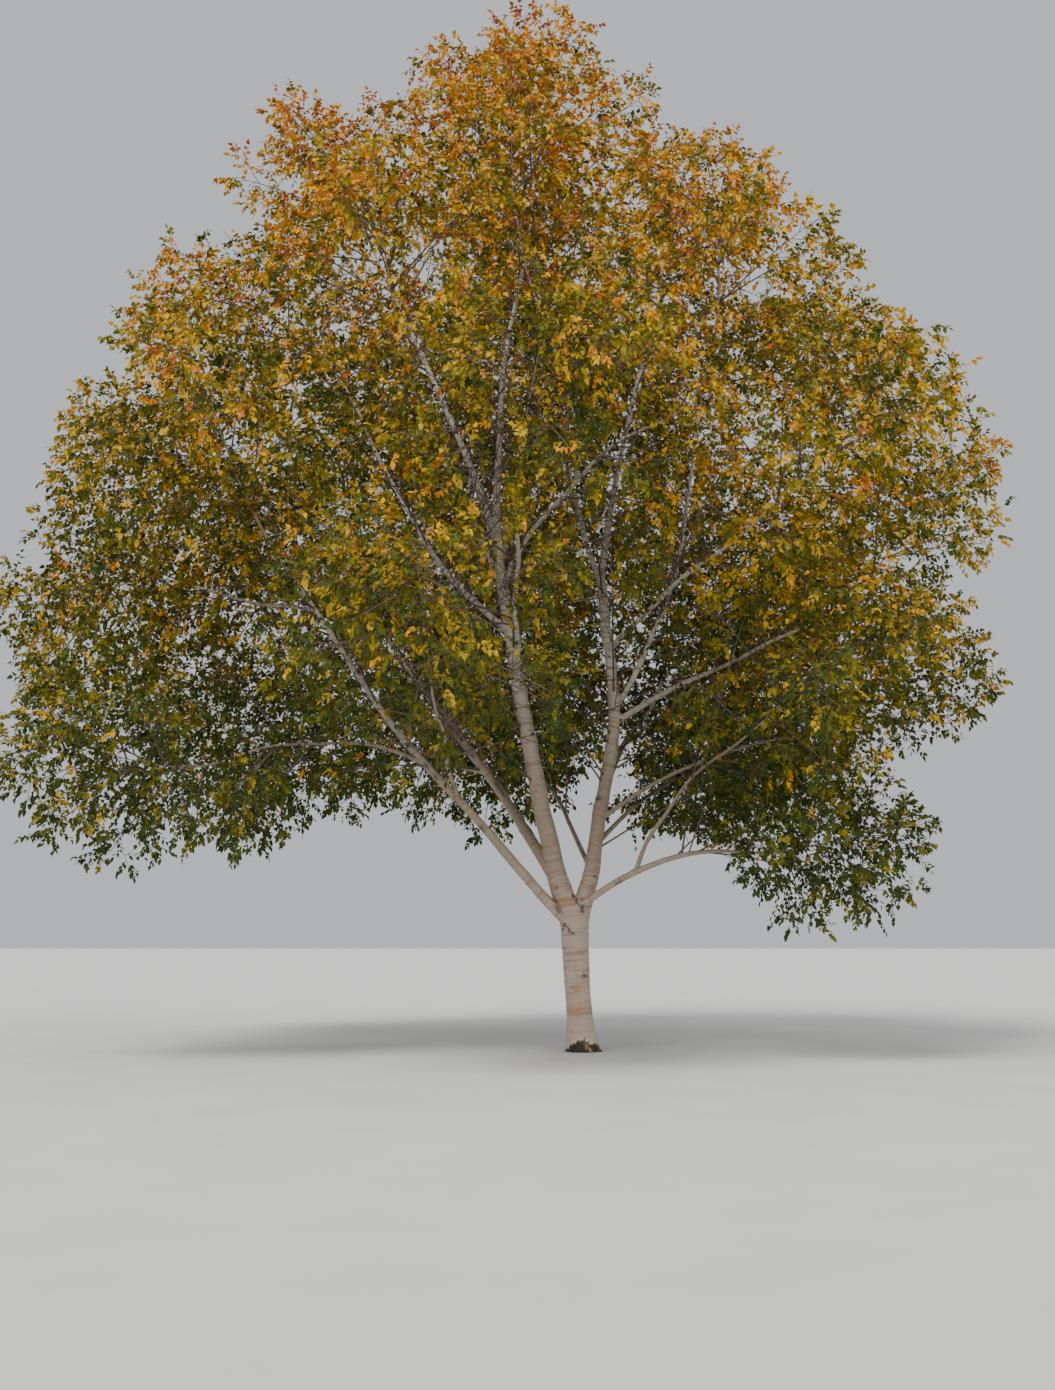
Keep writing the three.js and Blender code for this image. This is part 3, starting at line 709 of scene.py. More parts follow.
def result_of(holder):
    """The mesh that an object's modifiers make. The object itself goes."""
    depsgraph = bpy.context.evaluated_depsgraph_get()
    mesh = bpy.data.meshes.new_from_object(holder.evaluated_get(depsgraph))
    bpy.data.objects.remove(holder)
    return mesh


def joined(parts):
    """Several meshes, each by its places, corners and marks, as one."""
    counts = np.cumsum([0] + [len(part[0]) for part in parts])
    places = np.concatenate([part[0] for part in parts])
    corners = np.concatenate([part[1] + low for part, low in zip(parts, counts)])
    marks = {mark: np.concatenate([part[2][mark] for part in parts]) for mark in parts[0][2]}
    return places, corners, marks


def tube_corners(sides, rings, pointed):
    """The faces of a closed tube with this many rings of corners, with a point past them or not."""
    here = np.arange(sides)
    after = (here + 1) % sides
    faces = []
    for low in range(0, (rings - 1) * sides, sides):
        high = low + sides
        faces.append((low + here, low + after, high + after))
        faces.append((low + here, high + after, high + here))
    last = (rings - 1) * sides
    fan = np.arange(1, sides - 1)
    if pointed:
        faces.append((last + here, last + after, np.full(sides, last + sides)))
    faces.append((0 * fan, fan + 1, fan))
    if not pointed:
        faces.append((last + 0 * fan, last + fan, last + fan + 1))
    return np.concatenate([np.stack(face, axis=1) for face in faces])


def twig_tubes(curves, root_radii, tip_radii, sides, rings):
    """Closed pointed tubes along curves."""
    count = len(curves)
    shares = np.arange(rings + 1) / rings
    centres = along_curve(curves[:, None], shares[None])
    forward = heading(curves[:, None], shares[None])
    side = square_to(unit(curves[:, 2] - curves[:, 0]))[:, None]
    across = unit(side - forward * (side * forward).sum(-1, keepdims=True))
    through = np.cross(forward, across)
    angles = ring_angles(sides)[:, None]
    ring = across[:, :rings, None] * np.cos(angles) + through[:, :rings, None] * np.sin(angles)
    radius = lerp(root_radii[:, None], tip_radii[:, None], shares[None, :rings])
    body = centres[:, :rings, None] + ring * radius[..., None, None]
    places = np.concatenate([body.reshape(count, rings * sides, 3), centres[:, rings:]], axis=1)
    first_corner = (np.arange(count) * (rings * sides + 1))[:, None, None]
    corners = tube_corners(sides, rings, True)[None] + first_corner
    return places.reshape(-1, 3), corners.reshape(-1, 3)


# Leaves: an egg-shaped blade of four faces, folded a little along its midrib, broadest near its foot.
LEAF_ALONG = np.array([0, 0.25, 0.62, 1, 0.62, 0.25])
LEAF_ASIDE = np.array([0, 0.48, 0.31, 0, -0.31, -0.48])
LEAF_FACES = np.array([(0, 1, 2), (0, 2, 3), (0, 3, 4), (0, 4, 5)])
LEAF_LENGTHS = (0.062, 0.094)
LEAF_WIDTH = 0.76
LEAF_FOLD = 0.32
LEAF_CURL = 0.12
LEAVES_PER_SHOOT = 6
LEAF_ANGLE = 55
LEAF_ANGLE_SPREAD = 20
LEAF_TURN_SPREAD = 70
TIP_LEAF_ANGLE = 10
FIRST_LEAF_AT = 0.15
LEAF_HANG = (0.1, 0.7)
LEAF_TILT = 0.55
LEAF_FACES_UP = 0.75


def leaf_blades(roots, directions, faces, lengths):
    across = unit(np.cross(directions, faces))
    lift = np.cross(across, directions)
    rise = LEAF_FOLD * LEAF_WIDTH * np.abs(LEAF_ASIDE) - LEAF_CURL * LEAF_ALONG ** 2
    steps = (directions[:, None] * LEAF_ALONG[:, None] + lift[:, None] * rise[:, None]
             + across[:, None] * (LEAF_WIDTH * LEAF_ASIDE)[:, None])
    places = roots[:, None] + steps * lengths[:, None, None]
    corners = LEAF_FACES[None] + (6 * np.arange(len(roots)))[:, None, None]
    return places.reshape(-1, 3), corners.reshape(-1, 3)


def leaves_on(curves):
    """Where the leaves of each shoot grow: by turns to one side and the other, and one at its tip."""
    count = len(curves)
    share = np.tile(np.linspace(FIRST_LEAF_AT, 1, LEAVES_PER_SHOOT), (count, 1))
    forward = heading(curves[:, None], share)
    root = along_curve(curves[:, None], share)
    turn = 180.0 * np.arange(LEAVES_PER_SHOOT) + 360 * rng.random((count, 1))
    turn = turn + LEAF_TURN_SPREAD * rng.random(share.shape)
    angle = np.where(share > 0.99, TIP_LEAF_ANGLE, LEAF_ANGLE)
    angle = angle + LEAF_ANGLE_SPREAD * (rng.random(share.shape) - 0.5)
    hang = lerp(*LEAF_HANG, rng.random(share.shape))
    direction = turned_from(forward, angle, turn, -hang[..., None])
    face = rng.normal(size=direction.shape) * LEAF_TILT + UP * LEAF_FACES_UP
    length = lerp(*LEAF_LENGTHS, rng.random(share.shape))
    return root.reshape(-1, 3), direction.reshape(-1, 3), face.reshape(-1, 3), length.ravel()


# Autumn tints, from the warmest to the greenest: a name, a colour, the hue in degrees that it stands
# for, and the slot it takes its finish from.
Tint = namedtuple("Tint", "name colour hue slot")
# The greener tints, which grow low and inside the crown, are also darker: partly the leaves' own colour,
# partly painted shade of the lower crown.
TINTS = [
    Tint("russet", "a95d22", 23, "amber_leaves"),
    Tint("orange", "cd8119", 31, "amber_leaves"),
    Tint("amber", "d4981e", 37, "amber_leaves"),
    Tint("gold", "c29c20", 43, "amber_leaves"),
    Tint("ochre", "8b790e", 50, "olive_leaves"),
    Tint("olive", "635f0b", 58, "olive_leaves"),
    Tint("green", "47510b", 67, "olive_leaves"),
    Tint("deep_green", "324010", 80, "olive_leaves"),
]
CROWN_TOP_HUE = 39.5
HUE_PER_METRE = 2.15
HUE_TO_THE_LEFT = 0.3
LOW_HUE_PER_METRE = 3.1
LOW_BELOW = 6.0
OUTER_WARMTH = 9
OUTER_FROM = 0.6
PATCHES = ((3.2, 2.5), (1.2, 4.5))
SHOOT_HUE = 9.5
TINT_SEED = 1490
CROWN_TOP = 14.0


def patches(places, size, count=7, draw=rng):
    """A smooth field with patches of about this size, from about -1 to 1."""
    directions = unit(draw.normal(size=(count, 3))) * 2 * np.pi / size
    phases = 2 * np.pi * draw.random(count)
    return np.sin(places @ directions.T + phases).sum(1) / math.sqrt(count / 2)


def tint_of(places):
    """The tint of each shoot: greener low down and inside, warmer high up and outside, in patches."""
    hue = CROWN_TOP_HUE + HUE_PER_METRE * (CROWN_TOP - places[:, 2])
    hue += LOW_HUE_PER_METRE * np.maximum(LOW_BELOW - places[:, 2], 0)
    hue -= OUTER_WARMTH * (how_far_out(places) - OUTER_FROM) + HUE_TO_THE_LEFT * (places[:, 0] + 1)
    draw = np.random.default_rng(TINT_SEED)
    for size, strength in PATCHES:
        hue += strength * patches(places, size, draw=draw)
    hue += SHOOT_HUE * draw.normal(size=len(places))
    hues = np.array([tint.hue for tint in TINTS])
    return np.abs(hue[:, None] - hues[None]).argmin(1)


tints = tint_of(middles_of(shoots))


# Long limbs: each bough and the stem of its mass are one tapering tube with the bark's relief.
RING_STEP = 0.045
LIMB_SIDES = 14
STEM_END = 0.004
KNOT_SPACING = 0.42
KNOT_RISE = 0.2
KNOT_SPREAD = 0.55
KNOT_REACH = 1.3
KNOT_LEAST = 0.012
KNOT_DARK = 1.1
YOUTH = (0.85, 26)
STEM_STEP = 0.072
STEM_TAPER = 0.85
UNEVENNESS = (0.035, 0.02)
LIMB_OFFSET = 1.7
MAIN_THICKNESS = 0.09


def frames_along(points):
    """Directions across and through a path, carried along it without twist."""
    forward = unit(np.gradient(points, axis=0))
    across = np.empty_like(forward)
    across[0] = square_to(forward[0])
    for i in range(1, len(points)):
        moved = across[i - 1] - forward[i] * (across[i - 1] @ forward[i])
        across[i] = unit(moved)
    return across, np.cross(forward, across), forward


def run_along(points):
    """How far it is from the first point to each, along their path."""
    return np.concatenate([[0], np.cumsum(np.linalg.norm(np.diff(points, axis=0), axis=1))])


def tube(points, sizes, sides):
    """A closed tube through points. `sizes` has a row of radii for each ring, or one radius."""
    across, through, _ = frames_along(points)
    angles = ring_angles(sides)
    ring = across[:, None] * np.cos(angles)[:, None] + through[:, None] * np.sin(angles)[:, None]
    places = points[:, None] + ring * sizes[..., None]
    return places.reshape(-1, 3), tube_corners(sides, len(points), False), {}


def long_limb(points, sizes, offset):
    """A closed tube through points, with knots and a slight unevenness, and its marks for the bark."""
    along = run_along(points)
    angles = ring_angles(LIMB_SIDES)
    uneven = 1 + UNEVENNESS[0] * np.sin(2 * angles[None] + 3 * along[:, None] + offset)
    uneven = uneven + UNEVENNESS[1] * np.sin(9 * along[:, None] + 5 * offset + angles[None])
    knots = np.zeros((len(points), LIMB_SIDES))
    count = int(along[-1] / KNOT_SPACING)
    seats = along[-1] * (np.arange(count) + bark_draw.random(count)) / max(count, 1)
    turns = 2 * np.pi * bark_draw.random(count)
    for seat, turn in zip(seats, turns):
        size = np.interp(seat, along, sizes)
        near = fading(along - seat, KNOT_REACH * size + KNOT_LEAST)
        facing = fading(np.angle(np.exp(1j * (angles - turn))), KNOT_SPREAD)
        knots = np.maximum(knots, near[:, None] * facing[None])
    size = sizes[:, None] * uneven * (1 + KNOT_RISE * knots)
    places, corners, marks = tube(points, size, LIMB_SIDES)
    marks["bark_place"] = np.stack([
        np.cos(angles)[None] * sizes[:, None],
        np.sin(angles)[None] * sizes[:, None],
        np.broadcast_to(along[:, None] + offset, size.shape),
    ], axis=-1).reshape(-1, 3)
    marks["crease"] = np.clip(knots ** 2 * KNOT_DARK, 0, 1).ravel()
    marks["youth"] = np.repeat(np.clip(YOUTH[0] - YOUTH[1] * sizes, 0, 1), LIMB_SIDES)
    return places, corners, marks


def bough_points(row, stem):
    """The path of a bough and of its mass's stem, and its radius along it."""
    shares = np.linspace(0, 1, int(length_of(row.name) / RING_STEP) + 2)
    length = np.linalg.norm(stem[2] - stem[0])
    further = np.linspace(0, 1, int(length / STEM_STEP) + 2)[1:]
    points = np.concatenate([axes[row.name](shares), along_curve(stem[None], further)])
    thin = lerp(row.thick[1] / 2, STEM_END, further ** STEM_TAPER)
    return points, np.concatenate([limb_radius(row, shares), thin])


limbs = [long_limb(*bough_points(row, stem), LIMB_OFFSET * index)
         for index, (row, stem) in enumerate(zip(BOUGHS, stems))]


# The trunk, the two stems and the roots of what they carry: their tubes are merged by a fine voxel
# grid, the creases between them are eased, and the bark's relief is raised on the result.
VOXEL = 0.0125
STUB_LENGTH = 0.34
STUB_ENDS = (1.06, 0.86)
STUB_RINGS = 12
BELOW_GROUND = -0.06
DOME_FROM = 0.9
DOME_TOP = 1.075
DOME_ROUNDING = 0.93
FORK_FROM = 0.7
FORK_WIDENING = 0.1
FORK_THINNING = 0.25
FORK_DRAW = 0.03
FORK_DRAW_OVER = 0.1
FORK_DRAW_REACH = 0.22
FORK_FULLNESS = 0.1
FORK_FULL_AT = 0.06
FORK_MOST = 1.2
FORK_POWER = 1.5
FORK_EASING = 0.1
MOST_EASING = 0.5
CREASE_EASING = 1.6
EASING_ROUNDS = (3, 10, 26)
HOLLOW_ROUNDS = 8
CREASE_REACH = 0.045
# How dark the hollows of creases are: partly dark folded bark, partly painted shade.
CREASE_DARK = 0.9
FORK_REACH = 2.5 * CREASE_REACH
LIMB_BLEND = 0.03
STEM_SUNK = 0.2
STEM_OUT = 0.045
STEM_SAMPLES = 90
HOLLOW_DEPTH = 0.002
HOLLOW_LEAST = 0.3
TRUNK_SIDES = 48
TRUNK_RINGS = 64
STEM_SIDES = 24
CORE_STEM_RINGS = 110


def drawn_in(name, places):
    """The two stems stand a little closer together just over the fork than their plain axes do."""
    towards = {"leader": FORK_DRAW, "right_stem": -FORK_DRAW}.get(name, 0)
    share = fading(places[:, 2] - TRUNK_HEIGHT - FORK_DRAW_OVER, FORK_DRAW_REACH)
    return places + share[:, None] * (towards, 0, 0)


def trunk_tube():
    shares = np.linspace(BELOW_GROUND, DOME_TOP, TRUNK_RINGS)
    angles = ring_angles(TRUNK_SIDES)
    dome = np.sqrt(1 - DOME_ROUNDING * np.clip((shares - DOME_FROM) / (DOME_TOP - DOME_FROM), 0, 1) ** 2)
    size = trunk_radius(shares[:, None], -angles[None]) * dome[:, None]
    ring = np.stack([np.cos(angles), np.sin(angles), 0 * angles], axis=-1)
    wider = np.clip((shares - FORK_FROM) / (1 - FORK_FROM), 0, FORK_MOST) ** FORK_POWER
    ring = ring[None] * (1 + wider[:, None, None] * (FORK_WIDENING, -FORK_THINNING, 0))
    places = trunk_axis(shares)[:, None] + ring * size[..., None]
    return places.reshape(-1, 3), tube_corners(TRUNK_SIDES, TRUNK_RINGS, False), {}


def edges_of(corners):
    pairs = np.concatenate([corners[:, [0, 1]], corners[:, [1, 2]], corners[:, [2, 0]]])
    return np.unique(np.sort(pairs, axis=1), axis=0)


def eased(places, edges, weights, rounds):
    """Each corner moves part of the way to the middle of its neighbours, by its weight."""
    count = len(places)
    ends = np.concatenate([edges, edges[:, ::-1]])
    degree = np.maximum(np.bincount(ends[:, 0], minlength=count), 1)[:, None]
    for _ in range(rounds):
        sums = [np.bincount(ends[:, 0], places[ends[:, 1], k], count) for k in range(3)]
        middle = np.stack(sums, axis=1) / degree
        places = places + weights[:, None] * (middle - places)
    return places


def core_samples():
    """The axes that the merged mesh is made of, as points and radii for each limb."""
    samples = []
    for name in CORE_LIMBS:
        shares = np.linspace(0, 1, STEM_SAMPLES)
        samples.append((drawn_in(name, axes[name](shares)), radii[name](shares)))
    for row in BOUGHS:
        if row.parent in CORE_LIMBS:
            shares = np.linspace(0, STUB_LENGTH / length_of(row.name), STUB_RINGS)
            samples.append((axes[row.name](shares), radii[row.name](shares)))
    return samples


def near_limbs(places):
    """How far places are from each limb's surface, and where they are along it and round it."""
    gaps, marks = [], []
    for points, sizes in core_samples():
        best = np.full(len(places), np.inf)
        which = np.zeros(len(places), int)
        for i, (point, size) in enumerate(zip(points, sizes)):
            away = np.linalg.norm(places - point, axis=1) - size
            closer = away < best
            best[closer] = away[closer]
            which[closer] = i
        across, through, forward = frames_along(points)
        from_axis = places - points[which]
        along = run_along(points)[which] + (from_axis * forward[which]).sum(1)
        gaps.append(best)
        marks.append(np.stack([
            (from_axis * across[which]).sum(1), (from_axis * through[which]).sum(1), along + points[0, 2],
        ], axis=1))
    return np.array(gaps), np.array(marks)


def merged_core():
    parts = [trunk_tube()]
    for name in CORE_LIMBS[1:]:
        shares = np.linspace(0, 1, CORE_STEM_RINGS)
        sunk = 1 - STEM_SUNK * fading(shares, STEM_OUT)
        full = 1 + FORK_FULLNESS * fading(shares - FORK_FULL_AT, FORK_FULL_AT)
        sizes = radii[name](shares) * sunk * full
        parts.append(tube(drawn_in(name, axes[name](shares)), sizes[:, None], STEM_SIDES))
    for points, sizes in core_samples()[len(CORE_LIMBS):]:
        sizes = sizes * np.linspace(*STUB_ENDS, STUB_RINGS)
        parts.append(tube(points, sizes[:, None], STEM_SIDES))
    places, corners, _ = joined(parts)
    rough = mesh_piece("rough_core", places, corners, True)
    remesh = rough.modifiers.new("merge", "REMESH")
    remesh.mode = "VOXEL"
    remesh.voxel_size = VOXEL
    mesh = result_of(rough)
    mesh.calc_loop_triangles()
    places = np.zeros((len(mesh.vertices), 3), np.float32)
    mesh.vertices.foreach_get("co", places.ravel())
    corners = np.zeros((len(mesh.loop_triangles), 3), np.int32)
    mesh.loop_triangles.foreach_get("vertices", corners.ravel())
    bpy.data.meshes.remove(mesh)
    return places.astype(float), corners


# The bark's relief on the merged mesh: level ridges, soft lumps, a few knots and scars, and the ragged
# lower edge of the bark, which stands clear of the bare wood at the foot.
RIDGE_HEIGHT = 0.0022
LUMP_HEIGHT = 0.004
RIDGE_RUN = 150
RIDGE_PATCH = 0.25
LUMP_SIZE = 0.35
FINE_WAVES = 9
SCAR_DENT = (0.6, 0.45)
SCAR_DARK = 0.75
SCAR_SQUASH = (1, 1, 1.3)
BARE_FOOT = 0.18
FOOT_DROP = 0.03
ARCH_HALF = 0.24
BARK_TEETH = ((0.16, 0.012), (0.045, 0.013))
TEETH_SEED = 242
BARK_THICK = 0.013
PEELING_FROM = 0.045
ROOT_SPREAD = 0.024
ROOT_HEIGHT = 0.11
ROOT_LOBES = (0.6, 4, 0.9)
EDGE_WIDTH = 0.007
FRAYED_ABOVE = 0.012
FRAYED_WIDTH = 0.022
STRAY_CURLS = 0.008
STRAY_PATCH = 0.5
WRINKLES = 0.012
WRINKLE_SIZE = 0.07
# Knots and scars: limb, share of its length, bearing round it in degrees (0 faces the front, 90 the
# right), size, and how far they stand out. The largest is the scar of a limb that was cut off.
SCARS = [
    ("right_stem", 0.33, -35, 0.06, 0.03),
    ("trunk", 0.52, 35, 0.055, 0.016),
    ("trunk", 0.575, -70, 0.03, 0.01),
    ("trunk", 0.84, -62, 0.04, 0.012),
    ("leader", 0.08, -15, 0.028, 0.008),
    ("right_stem", 0.19, -60, 0.035, 0.012),
    ("trunk", 0.3, 170, 0.03, 0.01),
    ("leader", 0.2, 150, 0.035, 0.014),
    ("leader", 0.5, 20, 0.03, 0.012),
    ("leader", 0.69, -30, 0.035, 0.016),
    ("leader", 0.83, 60, 0.03, 0.012),
    ("right_stem", 0.12, 25, 0.032, 0.014),
    ("right_stem", 0.55, 200, 0.03, 0.012),
    ("right_stem", 0.74, -10, 0.03, 0.012),
]
# Where bark has lately come off and shows salmon: limb, share of its length, bearing, and half its
# height and breadth in metres.
FRESH = [
    ("trunk", 0.27, 0, 0.05, 0.4),
    ("trunk", 0.44, -5, 0.06, 0.1),
    ("trunk", 0.97, 60, 0.04, 0.06),
    ("leader", 0.065, -15, 0.11, 0.09),
    ("right_stem", 0.085, 0, 0.06, 0.12),
    ("right_stem", 0.135, 20, 0.05, 0.07),
]
# Seams of dark folded bark that run down from where two limbs part: whether on the front (-1) or the
# back (1), and points across and up.
SEAMS = [
    (-1, [(-0.135, 2.12), (-0.08, 2.02), (-0.03, 1.93), (0.0, 1.87)]),
    (-1, [(0.06, 2.03), (0.02, 1.97), (-0.01, 1.9)]),
    (-1, [(-0.32, 1.73), (-0.24, 1.71), (-0.21, 1.65), (-0.15, 1.58)]),
    (1, [(-0.13, 2.12), (-0.12, 2.0), (-0.14, 1.9)]),
    (1, [(-0.3, 1.8), (-0.22, 1.74), (-0.2, 1.68)]),
]
SEAM_RISE = (0.009, 0.035)
SEAM_DEPTH = (0.014, 0.013)
SEAM_DARK = 0.016
FACING_EDGE = 0.06


def corner_normals(places, corners):
    sides = places[corners]
    faces = np.cross(sides[:, 1] - sides[:, 0], sides[:, 2] - sides[:, 0])
    normals = np.stack([
        sum(np.bincount(corners[:, i], faces[:, k], len(places)) for i in range(3)) for k in range(3)
    ], axis=1)
    return unit(normals)


def from_line(across, up, points):
    """How far places are from a line of straight pieces, as seen from the front."""
    best = np.full(len(across), np.inf)
    for (x0, z0), (x1, z1) in zip(points[:-1], points[1:]):
        share = ((across - x0) * (x1 - x0) + (up - z0) * (z1 - z0)) / ((x1 - x0) ** 2 + (z1 - z0) ** 2)
        share = np.clip(share, 0, 1)
        best = np.minimum(best, np.hypot(across - lerp(x0, x1, share), up - lerp(z0, z1, share)))
    return best


def place_on(limb, share, facing):
    """The place on a limb's surface at a share of its length and a bearing, 0 at the front."""
    outward = np.array([math.sin(math.radians(facing)), -math.cos(math.radians(facing)), 0])
    return axes[limb](share) + outward * radii[limb](share)


def bark_core(places, corners):
    """The merged mesh with its creases eased and its relief raised, and its marks for the bark."""
    edges = edges_of(corners)
    evenly = np.full(len(places), MOST_EASING)
    places = eased(places, edges, evenly, EASING_ROUNDS[0])
    gaps, marks = near_limbs(places)
    nearest = np.sort(np.abs(gaps), axis=0)[:2]
    crease = fading(nearest[0] + nearest[1], CREASE_REACH)
    in_fork = (np.abs(gaps[1]) + np.abs(gaps[2]) < FORK_REACH) & (places[:, 2] > TRUNK_HEIGHT)
    ease = np.clip(CREASE_EASING * crease, 0, MOST_EASING) * np.where(in_fork, FORK_EASING, 1)
    places = eased(places, edges, ease, EASING_ROUNDS[1])
    # Creases are darker the deeper their hollow lies: dark folded bark at the joints, and partly painted
    # shade in the hollows.
    smoother = eased(places, edges, evenly, HOLLOW_ROUNDS)
    inside = ((smoother - places) * corner_normals(places, corners)).sum(1)
    crease = crease * np.clip(inside / HOLLOW_DEPTH - HOLLOW_LEAST, 0, 1)
    places = eased(places, edges, ease, EASING_ROUNDS[2])

    weights = np.exp(-np.maximum(gaps - gaps.min(0), 0) / LIMB_BLEND)
    weights /= weights.sum(0)
    bark_place = (weights[..., None] * marks).sum(0)

    normals = corner_normals(places, corners)
    along = bark_place[:, 2]
    bearing = np.arctan2(bark_place[:, 1], bark_place[:, 0])
    ridges = np.sin(RIDGE_RUN * along + 2 * np.sin(2 * bearing + 3 * along))
    ridges = ridges * patches(places, RIDGE_PATCH, draw=bark_draw)
    lumps = patches(places, LUMP_SIZE, FINE_WAVES, bark_draw)
    height = RIDGE_HEIGHT * ridges + LUMP_HEIGHT * lumps
    depth, count, turn = ROOT_LOBES
    lobes = 1 + depth * np.cos(count * bearing + turn)
    height += ROOT_SPREAD * np.exp(-places[:, 2] / ROOT_HEIGHT) * lobes
    arch = np.sqrt(np.clip(1 - (places[:, 0] / ARCH_HALF) ** 2, 0, 1))
    foot_line = BARE_FOOT * (arch * np.clip(-places[:, 1] / FACING_EDGE, 0, 1)) - FOOT_DROP
    teeth_draw = np.random.default_rng(TEETH_SEED)
    for size, height_of_teeth in BARK_TEETH:
        foot_line += height_of_teeth * patches(places * (1, 1, 0), size, FINE_WAVES, teeth_draw)
    bare = 0.5 - 0.5 * np.tanh((places[:, 2] - foot_line) / EDGE_WIDTH)
    height -= BARK_THICK * bare
    scar_mark = np.zeros(len(places))
    for limb, share, facing, size, rise in SCARS:
        away = np.linalg.norm((places - place_on(limb, share, facing)) * SCAR_SQUASH, axis=1) / size
        height += rise * fading(away, 1) - SCAR_DENT[0] * rise * fading(away, SCAR_DENT[1])
        scar_mark = np.maximum(scar_mark, fading(away, SCAR_DARK))
    wrinkles = WRINKLES * patches(places, WRINKLE_SIZE, FINE_WAVES, bark_draw)
    for side, points in SEAMS:
        away = from_line(places[:, 0] + wrinkles, places[:, 2], points)
        faces = np.clip(side * places[:, 1] / FACING_EDGE, 0, 1)
        fold, groove = [most * fading(away, width) for most, width in (SEAM_RISE, SEAM_DEPTH)]
        height += faces * (fold - groove)
        scar_mark = np.maximum(scar_mark, faces * fading(away, SEAM_DARK))
    fresh = np.zeros(len(places))
    for limb, share, facing, half_height, half_breadth in FRESH:
        away = (places - place_on(limb, share, facing)) / (half_breadth, half_breadth, half_height)
        fresh = np.maximum(fresh, np.exp(-(away ** 2).sum(1)))
    places = places + normals * height[:, None]
    peeling = fading(places[:, 2] - foot_line - FRAYED_ABOVE, FRAYED_WIDTH)
    peeling = peeling + STRAY_CURLS * np.clip(patches(places, STRAY_PATCH, draw=bark_draw), 0, 1)
    off_ground = places[:, 2] > PEELING_FROM
    return places, {
        "bark_place": bark_place,
        "crease": np.clip(crease * CREASE_DARK + scar_mark, 0, 1),
        "youth": np.zeros(len(places)),
        "bare": bare,
        "fresh": fresh,
        "peeling": peeling * off_ground,
        "sound_bark": (1 - bare) * off_ground,
    }


def cut_level(piece):
    """Cuts the piece off at ground level and closes the cut."""
    mesh = bmesh.new()
    mesh.from_mesh(piece.data)
    everything = list(mesh.verts) + list(mesh.edges) + list(mesh.faces)
    cut = bmesh.ops.bisect_plane(
        mesh, geom=everything, plane_co=(0, 0, 0), plane_no=(0, 0, 1), clear_inner=True)
    rim = [item for item in cut["geom_cut"] if isinstance(item, bmesh.types.BMEdge)]
    bmesh.ops.holes_fill(mesh, edges=rim, sides=0)
    bmesh.ops.triangulate(mesh, faces=[face for face in mesh.faces if len(face.verts) > 3])
    mesh.to_mesh(piece.data)
    mesh.free()


core_places, core_corners = merged_core()
core_places, core_marks = bark_core(core_places, core_corners)
core = mesh_piece("trunk_and_stems", core_places, core_corners, True, None, core_marks)
cut_level(core)


# Materials

def linear(colour):
    """An sRGB hex colour as the linear values that the shader takes."""
    values = [int(colour[i:i + 2], 16) / 255 for i in (0, 2, 4)]
    return tuple(v / 12.92 if v <= 0.04045 else ((v + 0.055) / 1.055) ** 2.4 for v in values) + (1.0,)


def add(tree, kind, settings=None, **links):
    """Adds a node with its settings, the stops of a ramp among them, and its inputs: values, sockets, or
    nodes, which stand for their first output."""
    made = tree.nodes.new(kind)
    for name, value in (settings or {}).items():
        if name != "stops":
            setattr(made, name, value)
            continue
        points = made.color_ramp.elements
        while len(points) < len(value):
            points.new(0.5)
        for point, (place, colour) in zip(points, value):
            point.position = place
            point.color = linear(colour)
    for name, value in links.items():
        number = name[1:].isdigit()
        socket = made.inputs[int(name[1:]) if number else name.replace("_", " ")]
        if isinstance(value, bpy.types.Node):
            value = value.outputs[0]
        if isinstance(value, bpy.types.NodeSocket):
            tree.links.new(value, socket)
        else:
            socket.default_value = value
    return made


def new_material(name):
    material = bpy.data.materials.new(name)
    material.use_nodes = True
    material.node_tree.nodes.clear()
    return material, material.node_tree


BLACK, WHITE = "000000", "ffffff"

# Higher in the crown the limbs are younger: their bark turns creamy with grey bands, between these heights in
# metres. The cream is partly painted light, which lifts the upper limbs that the crown shades.
UPPER_BARK = (3.3, 5.6)
UPPER_CREAM_AND_LIGHT = [(0.3, "81776a"), (0.39, "b9ae9c"), (0.47, "dfd6c2"), (0.58, "e6dfce"), (0.7, "c3b7a2")]

# Painted shade: under the crown, between about 1.9 and 5.2 metres, the limbs are greyed towards olive where
# the crown shades them. The stops are tenths of the height, and the lighter the grey, the stronger this
# painted shade.
PAINTED_CROWN_SHADE = [(0.19, BLACK), (0.27, "c4c4c4"), (0.36, "bcbcbc"), (0.52, BLACK)]


